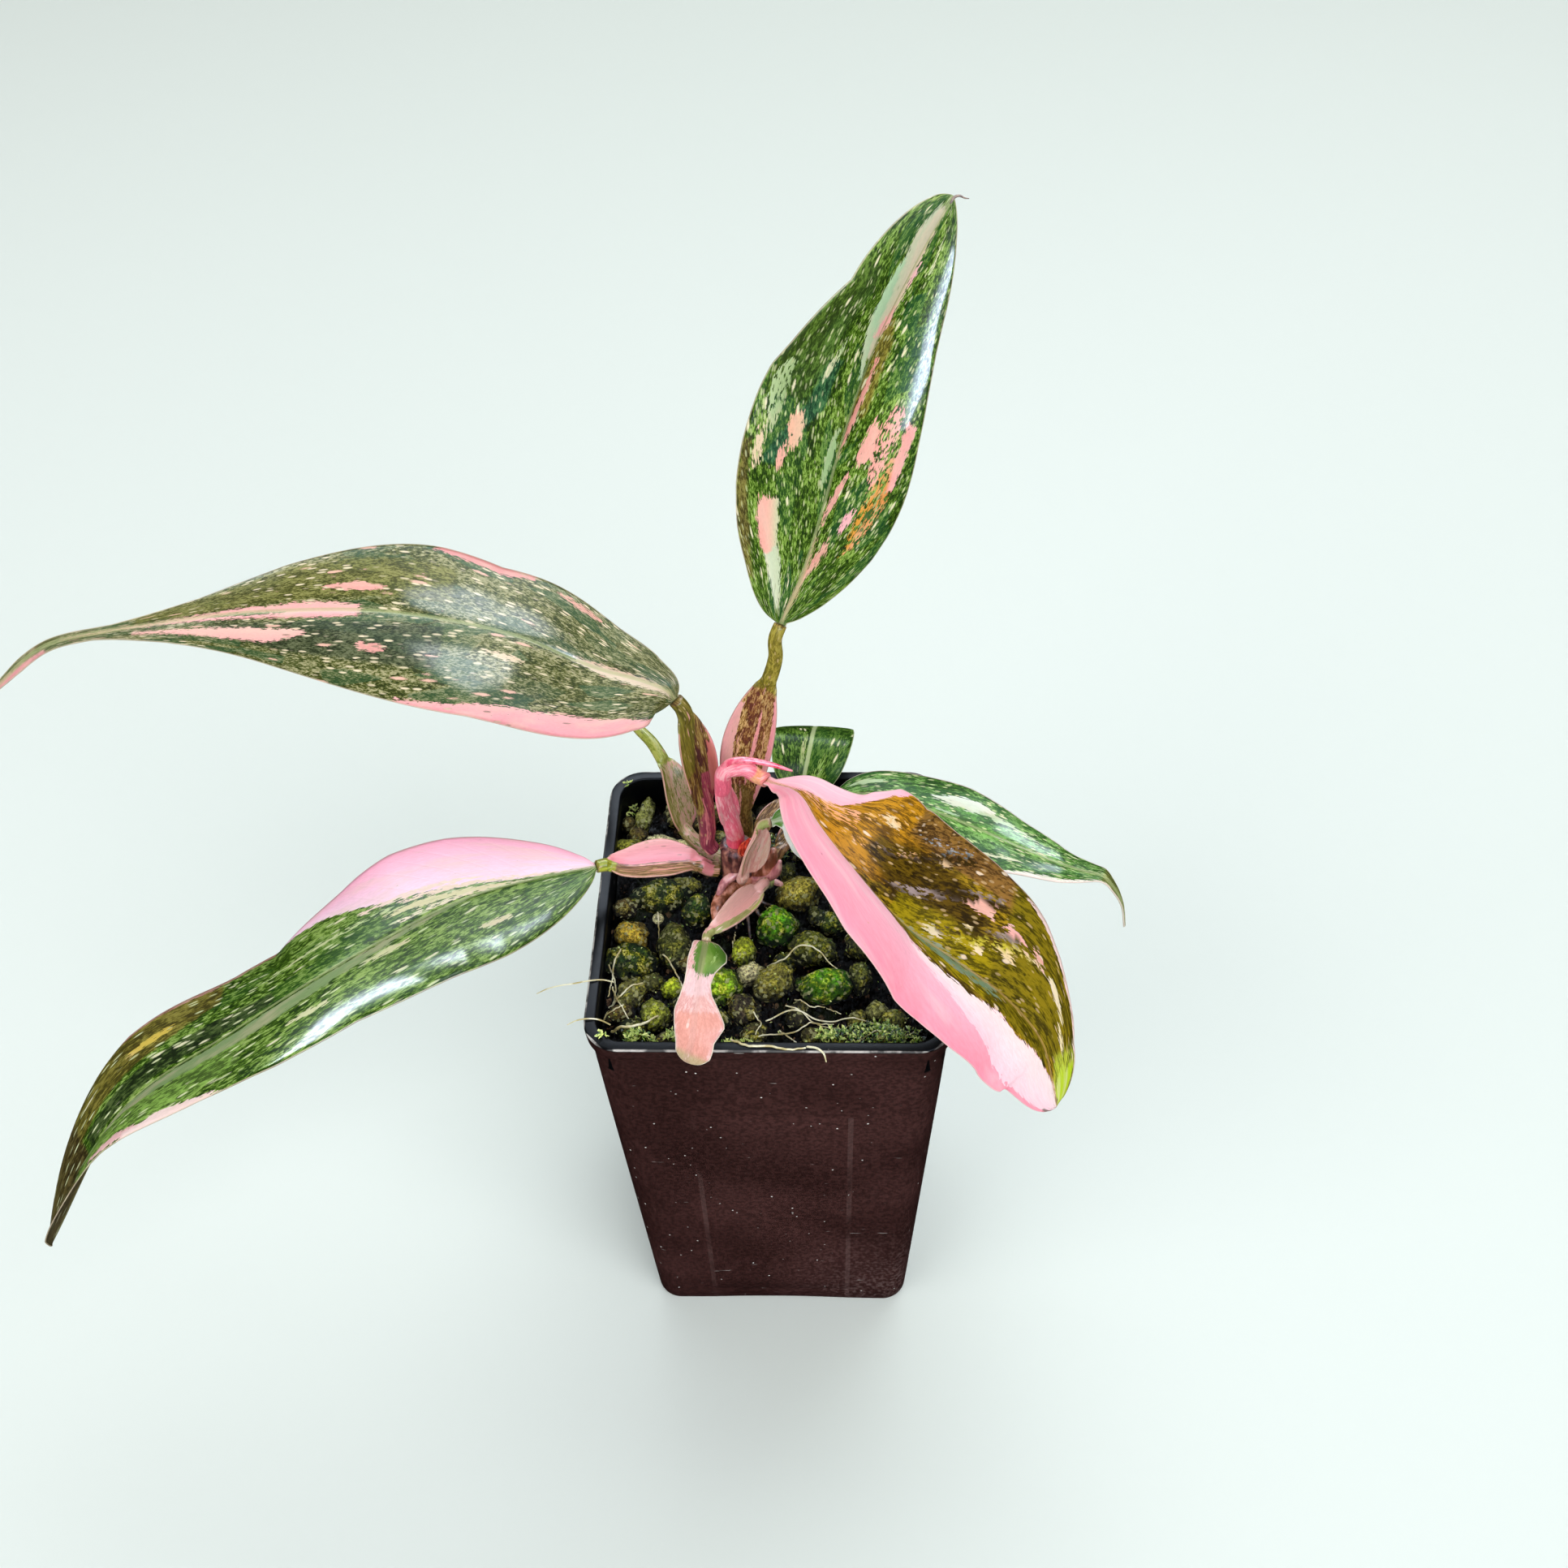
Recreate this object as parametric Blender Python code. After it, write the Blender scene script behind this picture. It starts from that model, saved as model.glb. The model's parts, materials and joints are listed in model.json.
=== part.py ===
"""Pink princess philodendron growing in a square nursery pot.

Origin: centre of the pot's flat underside. +Z up, -Y towards the viewer. Working
numbers are millimetres and are scaled to metres when each mesh is made.
"""
import math
import random

import bmesh
import bpy
import numpy as np
from mathutils import Matrix, Vector

MM = 0.001
GAP = 0.3                 # clearance left between pieces that touch

# Pot, outside sizes measured over the flats.
POT_HEIGHT = 152.0
POT_BASE_HALF = 38.0
POT_RIM_HALF = 44.5
POT_WALL = 1.3
POT_FLOOR = 2.2
RIM_BAND = 5.0            # height of the lip below the top edge
RIM_OUT = 0.7             # how far the lip stands proud of the wall
RIM_IN = 0.9              # how far the lip thickens the wall inwards
BASE_CORNER = 7.0
RIM_CORNER = 9.0
CORNER_STEPS = 5
PANEL_HALF = 20.5
PANEL_RISE = 0.35
PANEL_RAMP = 0.8
PANEL_Z = (9.0, 118.0)
EDGE_ROUND = 0.5          # small bevel along the top of the rim
FOOT_ROUND = (1.2, 1.4)   # width and height of the bevel round the foot
FOOT_ARCH = (46.0, 1.3, 2.4)      # length, height and depth of the arch under each side
DRAIN_CORNER = (21.0, 4.5)        # distance from centre lines and radius
DRAIN_SIDE = (25.0, 3.2)

# Growing mix.
MIX_TOP = 142.5
MIX_EDGE_DROP = 1.2       # how far the soil sinks where it meets the wall
MIX_RINGS = (1.0, 0.86, 0.70, 0.54, 0.38, 0.22, 0.10)
PEBBLE_COUNT = 54
PEBBLE_SIZE = (4.4, 6.8)   # smallest and largest half length
PEBBLE_LIFT = 0.30        # share of the half length a pebble's centre stands above the soil
PEBBLE_SPACING = 0.78
PEBBLE_KEEP_CLEAR = 8.0
PEBBLE_SEED = 41

# Stem.
STEM_AXIS = (-9.0, 8.5)
STEM_RADIUS = 4.0
STEM_BOTTOM = 131.0
STEM_TOP = 165.0
STEM_SIDES = 14
# Old stalk stubs and buds: start, end, start radius, end radius.
STUBS = [
    ((-7.0, 9.5, 157.0), (0.3, 8.6, 155.5), 2.3, 1.5),
    ((-9.5, 6.0, 153.0), (-14.3, 1.2, 149.0), 1.9, 1.2),
    ((-9.0, 5.5, 149.5), (-14.6, -1.2, 147.8), 1.8, 0.8),
]

BLADE_THICK = 0.8
SHEATH_THICK = 0.8
RIB_DEPTH = 1.0
FOLD_FROM = 4.0           # a blade narrower than this stays flat, so its faces never meet
BLADE_GRID = (17, 4)      # rows along a large blade and columns on each side of its midrib
SMALL_GRID = (12, 3)
SMALL_LENGTH = 60.0       # blades shorter than this take the small grid
STALK_ROWS = 13
STALK_COLS = 3
CURVE_STEPS = 24

# Each blade: midrib points, the way its upper face looks from base to tip, then for each
# half its width, fold angles and curl in degrees and (widest point, base, tip, tip) shape.
# "trim" widens or narrows a half along its length, "drip" is the least half width as a share
# of the full one, "wave" the margin's height and number of waves.
LEAVES = {
    "upright": dict(
        mid=[(3.7, 16, 233), (9, 22, 244), (12.5, 27, 254), (18.5, 37, 272), (24.5, 46, 286),
             (33, 55, 300), (40, 62, 310)],
        up=[(0, -0.8, 0.6)],
        left=dict(w=23.6, fold=(20, 27, 35, 60, 38), curl=(-18,), shape=(0.55, 0.5, 1.0, 0.6),
                  trim=(1, 1, 1.01, 1.01, 0.98, 0.94, 0.92, 0.94, 0.96, 0.96, 1)),
        right=dict(w=18.8, fold=(18, 34, 52, 46, 26), curl=(-50, -74, -78, -74, -42),
                   shape=(0.41, 0.75, 1.65, 0.78),
                   trim=(1, 0.96, 1, 0.97, 0.95, 0.95, 0.94, 0.95, 0.98, 1, 1)),
        drip=0.03, wave=(0.5, 3.0)),
    "upper_left": dict(
        mid=[(-21, 11, 214), (-22.8, 11.2, 216.8), (-27, 11.5, 219), (-37, 12, 222.5),
             (-55, 13, 232), (-79, 14, 238), (-111, 16, 237), (-140, 17, 232), (-151, 17, 230),
             (-165, 17, 226), (-180, 15, 215), (-190, 16, 205)],
        up=[(0, -0.6, 0.8), (0, -0.7, 0.7), (-0.2, -0.6, 0.8)],
        left=dict(w=22.4, fold=(25, 37, 27, 33, 18), curl=(-25,), shape=(0.27, 0.45, 1.9, 4.3)),
        right=dict(w=18.8, fold=(3, -27, -5, -23, 2), curl=(-15,), shape=(0.32, 0.64, 1.6, 4.5)),
        drip=0.07, wave=(0.6, 3.0)),
    "lower_left": dict(
        mid=[(-44, 2.4, 163), (-55, -3, 166), (-71, -12, 170), (-93, -28, 171), (-124, -44, 160),
             (-155, -56, 141), (-173, -78, 118)],
        up=[(0, -0.2, 1), (0, -0.3, 1), (-0.4, -0.2, 0.8)],
        left=dict(w=21.6, fold=(14, 21, 43, 50, 63), curl=(-20,), shape=(0.24, 0.67, 2.85, 0.5),
                  trim=(1, 0.97, 0.96, 0.95, 0.92, 1.07, 1.03, 1.08, 1.14, 1, 1)),
        right=dict(w=25.0, fold=(-2, -8, -33, -9, -6), curl=(-15,), shape=(0.32, 0.67, 2.25, 0.5)),
        drip=0.03, wave=(0.8, 4.0)),
    "front_right": dict(
        mid=[(0, -0.5, 199), (8, -7, 201), (12, -14, 199.5), (22, -23, 190), (32, -26, 177),
             (45, -28, 165), (57, -30, 153), (66, -35, 142), (70, -46, 130)],
        up=[(0.2, -0.3, 1), (0.5, -0.1, 0.9), (0.7, 0, 0.7), (0.8, 0, 0.5)],
        left=dict(w=28.0, fold=(-15, 20, 37, 37, 22), curl=(-10, -25, -30, -25, -10),
                  shape=(0.42, 0.95, 2.5, 0.6),
                  trim=(1, 1.35, 1.14, 1.02, 1.02, 1.04, 1.04, 1.03, 0.95, 0.75, 1)),
        right=dict(w=22.5, fold=(51, 56, 33, 13, -4), curl=(-40, -70, -70, -60, -30),
                   shape=(0.62, 0.84, 3.2, 0.5),
                   trim=(1, 1.2, 1.2, 1.26, 1.17, 1.06, 1.06, 1.04, 1.05, 1.05, 1)),
        drip=0.03, wave=(0.4, 3.0)),
    "right": dict(
        mid=[(15, 30.5, 157), (23, 28.5, 161), (34, 24, 163), (47, 16, 165), (61, 7, 166),
             (70, 2, 166), (78.6, 0, 164), (82, -1.5, 164.4), (85, -3, 161.4), (87.4, -4.5, 156.8),
             (88.7, -6, 150.3)],
        up=[(0, 0.1, 1), (0.3, 0, 1)],
        left=dict(w=11.6, fold=(20, 15, 17, 0, 18), curl=(-15,), shape=(0.37, 0.5, 1.35, 1.3),
                  trim=(1, 1, 0.98, 0.95, 0.93, 0.96, 1, 1, 1, 1, 1)),
        right=dict(w=15.0, fold=(7, 5, 0, 6, 14), curl=(-15,), shape=(0.5, 0.6, 1.1, 2.4),
                   trim=(1, 1, 1, 1, 1, 1, 1, 1.22, 1.3, 1, 1)),
        drip=0.08, wave=(0.5, 3.0)),
    "back": dict(
        mid=[(7, 35, 155.5), (8.6, 40, 160.5), (9.8, 46, 163), (10.6, 54, 159), (11, 62, 150),
             (11, 68, 139), (11, 72, 129)],
        up=[(0, -1, 0.2), (0, -0.2, 1), (0, 0.6, 0.8), (0, 0.9, 0.4)],
        left=dict(w=11.0, fold=(15, 5, 0, 0, 0), curl=(-10,), shape=(0.3, 0.24, 2.0, 1.2)),
        right=dict(w=11.0, fold=(15, 5, 0, 0, 0), curl=(-10,), shape=(0.3, 0.24, 2.0, 1.2)),
        drip=0.04, wave=(0.3, 2.0)),
    "small_front": dict(
        mid=[(-15.3, -19.1, 161), (-15.7, -24.4, 162.4), (-16, -29.2, 163.2),
             (-16.4, -34.9, 163.4), (-16.6, -40, 163.2), (-16.8, -43.8, 162),
             (-17.3, -46.6, 159.6), (-18.3, -48, 156.4), (-19, -48.2, 153.4)],
        up=[(0, -0.2, 1), (0, -0.4, 0.9)],
        left=dict(w=6.0, fold=(-12, 8, 4, 0, 0), curl=(-10,), shape=(0.3, 0.25, 6.0, 0.5),
                  trim=(1, 1.1, 1.02, 0.6, 0.49, 0.62, 0.93, 1.24, 0.93, 1.12, 1)),
        right=dict(w=5.0, fold=(40, 30, 8, 0, 0), curl=(-10,), shape=(0.3, 0.25, 6.0, 0.5),
                   trim=(1, 0.76, 0.74, 0.68, 0.66, 0.79, 1, 0.97, 0.89, 0.87, 1)),
        drip=0.2, wave=(0.3, 2.0)),
    "hidden": dict(
        mid=[(-39.2, 40, 180.6), (-53, 46, 183.5), (-66, 52, 186.4), (-80, 58, 188),
             (-93, 64, 188)],
        up=[(0, -0.3, 1), (0, -0.2, 1)],
        left=dict(w=8.0, fold=(10, 8, 5, 5, 5), curl=(-15,), shape=(0.4, 0.6, 2.0, 1.2)),
        right=dict(w=8.0, fold=(10, 8, 5, 5, 5), curl=(-15,), shape=(0.4, 0.6, 2.0, 1.2)),
        drip=0.04, wave=(0.3, 2.0)),
    "pale": dict(
        mid=[(0.5, 4.5, 178), (3.5, 4.2, 179.6), (7.5, 3, 179), (12, 1, 176), (16, -1.5, 170.5),
             (18, -3.5, 165)],
        up=[(0, -0.6, 0.8), (0.1, -0.75, 0.65), (0.4, -0.6, 0.6)],
        left=dict(w=5.0, fold=(10, 5, 0, 0, 0), curl=(-10,), shape=(0.45, 0.6, 2.0, 1.0)),
        right=dict(w=6.8, fold=(5, 0, 0, 0, 0), curl=(-10,), shape=(0.45, 0.85, 2.0, 1.0)),
        drip=0.04, wave=(0.3, 2.0)),
}

# Each stalk: where it leaves the stem (turn, height and upward lean in degrees), the points
# of its path up to the blade, radius at foot, middle and top, the side its sheath opens to
# and the sheath's half width, span along the stalk, widest point and opening angle.
STALKS = {
    "upright": dict(
        root=(72, 160.5, 60), path=[(-7.0, 14.4, 170), (-6.6, 13.4, 183), (-4.4, 13.5, 197),
                                    (-0.9, 14.2, 211.5), (2.3, 15.1, 223.5)],
        radius=(1.9, 2.2, 1.5), up=[(-0.25, -0.95, 0.2)], half=6.8, span=(0.08, 0.78), peak=0.5,
        open=18),
    "upper_left": dict(
        root=(172, 161.5, 60), path=[(-15.9, 9.4, 170), (-16.2, 9.0, 182.2), (-17, 9.0, 193.4),
                                     (-18.4, 9.8, 204)],
        radius=(1.9, 2.6, 1.8), up=[(0.6, -0.75, 0.2)], half=5.2, span=(0.2, 0.93), peak=0.66,
        open=16),
    "lower_left": dict(
        root=(190, 155.5, 20), path=[(-18.5, 6.8, 158.8), (-27, 5.4, 160.5), (-36, 3.6, 161.5)],
        radius=(2.0, 2.3, 1.6), up=[(0, -0.25, 1)], half=6.6, span=(0.10, 0.93), peak=0.5,
        open=26),
    "front_right": dict(
        root=None, path=[(-9.3, 6.4, 174), (-10.2, 4.4, 184), (-10.6, 3, 193), (-9.3, 1.8, 199.8),
                         (-4.8, 1.2, 201)],
        radius=(2.3, 2.1, 1.8), up=[(0.5, -0.8, 0.3)], half=3.1, span=(0.10, 0.66), peak=0.4,
        open=24),
    "right": dict(
        root=(15, 151.0, 20), path=[(1.5, 14.5, 154.5), (8.5, 24, 157)],
        radius=(1.7, 1.7, 1.3), up=[(0, 0, 1)], half=3.4, span=(0.2, 0.7), peak=0.45, open=25),
    "back": dict(
        root=(70, 151.0, 20), path=[(-4.6, 18.5, 154.5), (0.5, 25.5, 157), (4.2, 31, 157.2)],
        radius=(1.7, 1.6, 1.3), up=[(0, 0, 1)], half=3.2, span=(0.2, 0.7), peak=0.45, open=25),
    "small_front": dict(
        root=(325, 151.5, 25), path=[(-2.0, 3.6, 155), (-3.6, -0.6, 157.2), (-7.4, -6.6, 158.6),
                                     (-11.8, -13.0, 160)],
        radius=(1.5, 1.5, 1.1), up=[(0.3, -0.2, 1)], half=3.9, span=(0.22, 0.9), peak=0.5,
        open=22),
    "hidden": dict(
        root=(135, 153.0, 20), path=[(-17, 14.6, 154.8), (-22, 16.8, 159), (-24.4, 20, 167),
                                     (-26.8, 25, 175), (-30.4, 30, 178.6), (-35, 35.4, 179.6)],
        radius=(1.8, 1.9, 1.2), up=[(0.6, -0.5, 0.6)], half=5.2, span=(0.2, 0.66), peak=0.42,
        open=22),
    "pale": dict(
        root=(285, 157.0, 60), path=[(-6.6, 1.6, 162), (-5.0, 2.2, 168), (-2.8, 4.0, 173.6)],
        radius=(1.4, 1.5, 1.1), up=[(0.6, -0.7, 0.4)], half=4.4, span=(0.1, 0.88), peak=0.5,
        open=24),
}

# sRGB base colour, roughness.
BLADE_COLOURS = {
    "upright": ((0.17, 0.29, 0.13), 0.30),
    "upper_left": ((0.19, 0.28, 0.14), 0.30),
    "lower_left": ((0.24, 0.34, 0.18), 0.30),
    "front_right": ((0.62, 0.34, 0.27), 0.28),
    "right": ((0.20, 0.32, 0.17), 0.32),
    "back": ((0.19, 0.34, 0.14), 0.34),
    "small_front": ((0.93, 0.72, 0.70), 0.38),
    "hidden": ((0.20, 0.31, 0.15), 0.32),
    "pale": ((0.86, 0.90, 0.80), 0.36),
}
STALK_COLOURS = {
    "upright": (0.45, 0.30, 0.16),
    "upper_left": (0.42, 0.22, 0.18),
    "lower_left": (0.80, 0.45, 0.46),
    "front_right": (0.93, 0.40, 0.52),
    "right": (0.45, 0.38, 0.22),
    "back": (0.48, 0.42, 0.24),
    "small_front": (0.72, 0.56, 0.50),
    "hidden": (0.55, 0.50, 0.30),
    "pale": (0.88, 0.62, 0.62),
}


def linear(channel):
    if channel <= 0.04045:
        return channel / 12.92
    return ((channel + 0.055) / 1.055) ** 2.4


def material(name, colour, roughness, metallic=0.0):
    mat = bpy.data.materials.new(name)
    mat.use_nodes = True
    shader = mat.node_tree.nodes["Principled BSDF"]
    rgb = [linear(c) for c in colour]
    shader.inputs["Base Color"].default_value = (*rgb, 1.0)
    shader.inputs["Roughness"].default_value = roughness
    shader.inputs["Metallic"].default_value = metallic
    mat.diffuse_color = (*colour, 1.0)
    return mat


def make_object(name, verts, faces, mat, smooth=True):
    """Object from millimetre points, with its faces turned outwards."""
    mesh = bpy.data.meshes.new(name)
    mesh.from_pydata([tuple(float(c) * MM for c in v) for v in verts], [], faces)
    mesh.update()
    bm = bmesh.new()
    bm.from_mesh(mesh)
    bmesh.ops.recalc_face_normals(bm, faces=bm.faces)
    if bm.calc_volume(signed=True) < 0:
        bmesh.ops.reverse_faces(bm, faces=bm.faces)
    bm.to_mesh(mesh)
    bm.free()
    obj = bpy.data.objects.new(name, mesh)
    bpy.context.scene.collection.objects.link(obj)
    if mat is not None:
        mesh.materials.append(mat)
    for poly in mesh.polygons:
        poly.use_smooth = smooth
    return obj


def boolean(obj, cutter, operation, solver="EXACT"):
    """Apply one Boolean and remove the cutter."""
    mod = obj.modifiers.new(operation.lower(), "BOOLEAN")
    mod.object = cutter
    mod.operation = operation
    mod.solver = solver
    apply_modifiers(obj)
    bpy.data.objects.remove(cutter)


def apply_modifiers(obj):
    graph = bpy.context.evaluated_depsgraph_get()
    graph.update()
    mesh = bpy.data.meshes.new_from_object(obj.evaluated_get(graph))
    obj.modifiers.clear()
    old = obj.data
    obj.data = mesh
    bpy.data.meshes.remove(old)


def curve_through(points):
    """Dense points and running length of a smooth curve through the given ones."""
    p = np.asarray(points, float)
    gaps = np.linalg.norm(np.diff(p, axis=0), axis=1)
    slope = np.diff(p, axis=0) / gaps[:, None]
    mid = (slope[:-1] * gaps[1:, None] + slope[1:] * gaps[:-1, None])
    mid /= (gaps[:-1] + gaps[1:])[:, None]
    slopes = np.vstack([slope[:1], mid, slope[-1:]])
    out = []
    for i, gap in enumerate(gaps):
        for t in np.linspace(0, 1, CURVE_STEPS, endpoint=False):
            rise = t * t * (3 - 2 * t)
            lead = gap * t * (1 - t) ** 2
            trail = gap * t * t * (t - 1)
            out.append(p[i] * (1 - rise) + p[i + 1] * rise
                       + slopes[i] * lead + slopes[i + 1] * trail)
    out.append(p[-1])
    out = np.array(out)
    steps = np.linalg.norm(np.diff(out, axis=0), axis=1)
    return out, np.concatenate([[0], np.cumsum(steps)])


def along(points, t):
    """Positions and unit tangents at shares t of a smooth curve's length."""
    dense, length = curve_through(points)
    total = length[-1]
    at = np.asarray(t) * total

    def sample(q):
        q = np.clip(q, 0, total)
        return np.stack([np.interp(q, length, dense[:, k]) for k in range(3)], -1)

    tangent = sample(at + total * 0.004) - sample(at - total * 0.004)
    tangent /= np.linalg.norm(tangent, axis=-1, keepdims=True)
    return sample(at), tangent


def blend(values, t):
    """Evenly spaced values read at t, straight between neighbours."""
    v = np.asarray(values, float)
    if len(v) == 1:
        v = np.repeat(v, 2, axis=0)
    x = np.linspace(0, 1, len(v))
    if v.ndim == 1:
        return np.interp(t, x, v)
    return np.stack([np.interp(t, x, v[:, k]) for k in range(v.shape[1])], -1)


def frame_along(points, up, t):
    """Position, facing and rightward directions along a smooth curve."""
    pos, tangent = along(points, t)
    face = blend(up, t)
    face -= (face * tangent).sum(-1, keepdims=True) * tangent
    face /= np.linalg.norm(face, axis=-1, keepdims=True)
    return pos, face, np.cross(tangent, face), tangent


def half_section(width, fold, curl, s):
    """Across and up offsets of a curved half section, s from 0 to 1."""
    c = np.where(np.abs(curl) < 1e-3, 1e-3, curl)
    across = width * (np.sin(fold + c * s) - np.sin(fold)) / c
    rise = -width * (np.cos(fold + c * s) - np.cos(fold)) / c
    return across, rise


def leaf_shape(t, widest, base, tip_power, tip_fall, drip):
    """Half width share along a blade: rounded base, drawn-out tip."""
    grow = np.sin(math.pi / 2 * np.clip(t / widest, 0, 1)) ** base
    fade = (1 - np.clip((t - widest) / (1 - widest), 0, 1) ** tip_power) ** tip_fall
    share = np.where(t < widest, grow, fade)
    return np.maximum(share, drip * np.clip((1 - t) * 8, 0, 1) * np.clip(t * 20, 0, 1))


def closed_sheet(name, middle, upper, lower, mat, tangent):
    """Closed solid from a middle surface and its two offset distances, square at both ends."""
    rows, cols = middle.shape[:2]
    du = np.gradient(middle, axis=0)
    dv = np.gradient(middle, axis=1)
    normal = np.cross(dv, du)
    for row in (0, -1):
        lean = (normal[row] * tangent[row]).sum(-1, keepdims=True)
        normal[row] -= lean * tangent[row]
    normal /= np.linalg.norm(normal, axis=-1, keepdims=True)
    top = middle + normal * upper[..., None]
    bottom = middle - normal * lower[..., None]
    verts = list(top.reshape(-1, 3)) + list(bottom.reshape(-1, 3))
    shift = rows * cols
    faces = []
    for i in range(rows - 1):
        for j in range(cols - 1):
            a = i * cols + j
            b = a + 1
            c = a + cols + 1
            d = a + cols
            if (i + j) % 2:
                pair = [(a, b, c), (a, c, d)]
            else:
                pair = [(a, b, d), (b, c, d)]
            for tri in pair:
                faces.append(tri)
                faces.append(tuple(v + shift for v in reversed(tri)))
    ring = [j for j in range(cols)]
    ring += [i * cols + cols - 1 for i in range(1, rows)]
    ring += [(rows - 1) * cols + j for j in range(cols - 2, -1, -1)]
    ring += [i * cols for i in range(rows - 2, 0, -1)]
    for k, a in enumerate(ring):
        b = ring[(k + 1) % len(ring)]
        faces.append((a, a + shift, b + shift, b))
    return make_object(name, verts, faces, mat)


def make_blade(name, spec):
    length = curve_through(spec["mid"])[1][-1]
    rows, cols = SMALL_GRID if length < SMALL_LENGTH else BLADE_GRID
    ends = 0.5 - 0.5 * np.cos(np.linspace(0, math.pi, rows))
    t = 0.6 * ends + 0.4 * np.linspace(0, 1, rows)
    pos, face, right, tangent = frame_along(spec["mid"], spec["up"], t)
    middle = np.zeros((rows, 2 * cols + 1, 3))
    lower = np.full(middle.shape[:2], BLADE_THICK / 2)
    amount, count = spec["wave"]
    least = np.interp(t, (0, 0.04, 0.9, 1), (1.3, 1.0, 0.8, 0.5))
    for j in range(2 * cols + 1):
        s = abs(j - cols) / cols
        half = spec["left"] if j < cols else spec["right"]
        sign = -1 if j < cols else 1
        width = half["w"] * leaf_shape(t, *half["shape"], spec["drip"])
        width *= blend(half.get("trim", (1,)), t)
        width = np.maximum(width, least)
        ease = np.clip((width - least) / FOLD_FROM, 0, 1)
        fold = np.radians(blend(half["fold"], t)) * ease
        curl = np.radians(blend(half["curl"], t)) * ease
        across, rise = half_section(width, fold, curl, s)
        ripple = np.sin(2 * math.pi * count * t + (0.9 if j < cols else 2.4))
        rise += amount * s * s * ripple * np.sin(math.pi * t)
        middle[:, j] = pos + sign * right * across[:, None] + face * rise[:, None]
    lower[:, cols] += RIB_DEPTH * (1 - 0.85 * t)
    upper = np.full(middle.shape[:2], BLADE_THICK / 2)
    colour, roughness = BLADE_COLOURS[name]
    mat = material("leaf_" + name, colour, roughness)
    return closed_sheet("blade_" + name, middle, upper, lower, mat, tangent)


def make_stalk(name, spec, blade):
    start, tangent = along(blade["mid"], np.array([0.0]))
    base, lead = start[0], tangent[0]
    tail = [base - lead * (GAP + 2.4), base - lead * GAP]
    if spec["root"] is None:
        foot = np.array([STEM_AXIS[0], STEM_AXIS[1], STEM_TOP + GAP])
        head = [foot, foot + np.array([0, 0, 1.5])]
    else:
        turn, lean = (math.radians(spec["root"][k]) for k in (0, 2))
        out = np.array([math.cos(turn), math.sin(turn), 0.0])
        away = STEM_RADIUS + GAP + spec["radius"][0] * math.sin(lean)
        foot = np.array([*STEM_AXIS, spec["root"][1]]) + out * away
        head = [foot, foot + (out * math.cos(lean) + np.array([0, 0, math.sin(lean)])) * 2.0]
    points = head + [np.array(p, float) for p in spec["path"]] + tail
    t = np.linspace(0, 1, STALK_ROWS)
    pos, face, right, tangent = frame_along(points, spec["up"], t)
    radius = blend(spec["radius"], t)
    low, high = spec["span"]
    rising = np.clip((t - low) / (spec["peak"] - low), 0, 1)
    falling = np.clip((high - t) / (high - spec["peak"]), 0, 1)
    swell = np.where(t < spec["peak"], np.sin(math.pi / 2 * rising),
                     np.sqrt(np.sin(math.pi / 2 * falling)))
    width = np.maximum(radius, spec["half"] * swell)
    wing = np.clip((width - radius) / (radius * 0.8), 0, 1)
    middle = np.zeros((STALK_ROWS, 2 * STALK_COLS + 1, 3))
    upper = np.zeros(middle.shape[:2])
    lower = np.zeros(middle.shape[:2])
    for j in range(2 * STALK_COLS + 1):
        k = (j - STALK_COLS) / STALK_COLS
        s = np.sin(math.pi / 2 * abs(k)) * (1 - wing) + abs(k) * wing
        sign = -1 if k < 0 else 1
        fold = math.radians(spec["open"]) * wing
        across, rise = half_section(width, fold, fold * 0.9, s)
        middle[:, j] = pos + sign * right * across[:, None] + face * rise[:, None]
        core = np.sqrt(np.maximum(radius ** 2 - (s * width) ** 2, 0))
        thin = SHEATH_THICK / 2
        upper[:, j] = np.maximum(core * (1 - wing), thin)
        lower[:, j] = np.maximum(core, thin)
    mat = material("stalk_" + name, STALK_COLOURS[name], 0.35)
    return closed_sheet("petiole_" + name, middle, upper, lower, mat, tangent)


def lofted(rings):
    """Vertices and side faces through rings of equal length."""
    count = len(rings[0])
    verts = [p for ring in rings for p in ring]
    faces = []
    for i in range(len(rings) - 1):
        for j in range(count):
            k = (j + 1) % count
            faces.append((i * count + j, i * count + k, (i + 1) * count + k,
                          (i + 1) * count + j))
    return verts, faces


def square_ring(half, corner, z, panel=0.0):
    """Rounded square at height z; panel pushes out the middle of each side."""
    ring = []
    for side in range(4):
        turn = side * math.pi / 2
        flat = half - corner
        pts = []
        inner = PANEL_HALF - PANEL_RAMP
        for y, push in ((-PANEL_HALF, 0), (-inner, panel), (inner, panel), (PANEL_HALF, 0)):
            pts.append((half + push, y))
        for k in range(CORNER_STEPS + 1):
            a = math.pi / 2 * k / CORNER_STEPS
            pts.append((flat + corner * math.cos(a), flat + corner * math.sin(a)))
        for x, y in pts:
            ring.append((x * math.cos(turn) - y * math.sin(turn),
                         x * math.sin(turn) + y * math.cos(turn), z))
    return ring


def wall_half(z):
    return POT_BASE_HALF + (POT_RIM_HALF - RIM_OUT - POT_BASE_HALF) * z / POT_HEIGHT


def corner_at(z):
    return BASE_CORNER + (RIM_CORNER - BASE_CORNER) * z / POT_HEIGHT


def mix_half(z):
    return wall_half(z) - POT_WALL - GAP


def cylinder(radius, z0, z1, x, y, sides):
    ring = []
    for z in (z0, z1):
        ring.append([(x + radius * math.cos(2 * math.pi * k / sides),
                      y + radius * math.sin(2 * math.pi * k / sides), z)
                     for k in range(sides)])
    verts, faces = lofted(ring)
    faces.append(tuple(range(sides))[::-1])
    faces.append(tuple(range(sides, 2 * sides)))
    return make_object("cutter", verts, faces, None)


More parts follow.
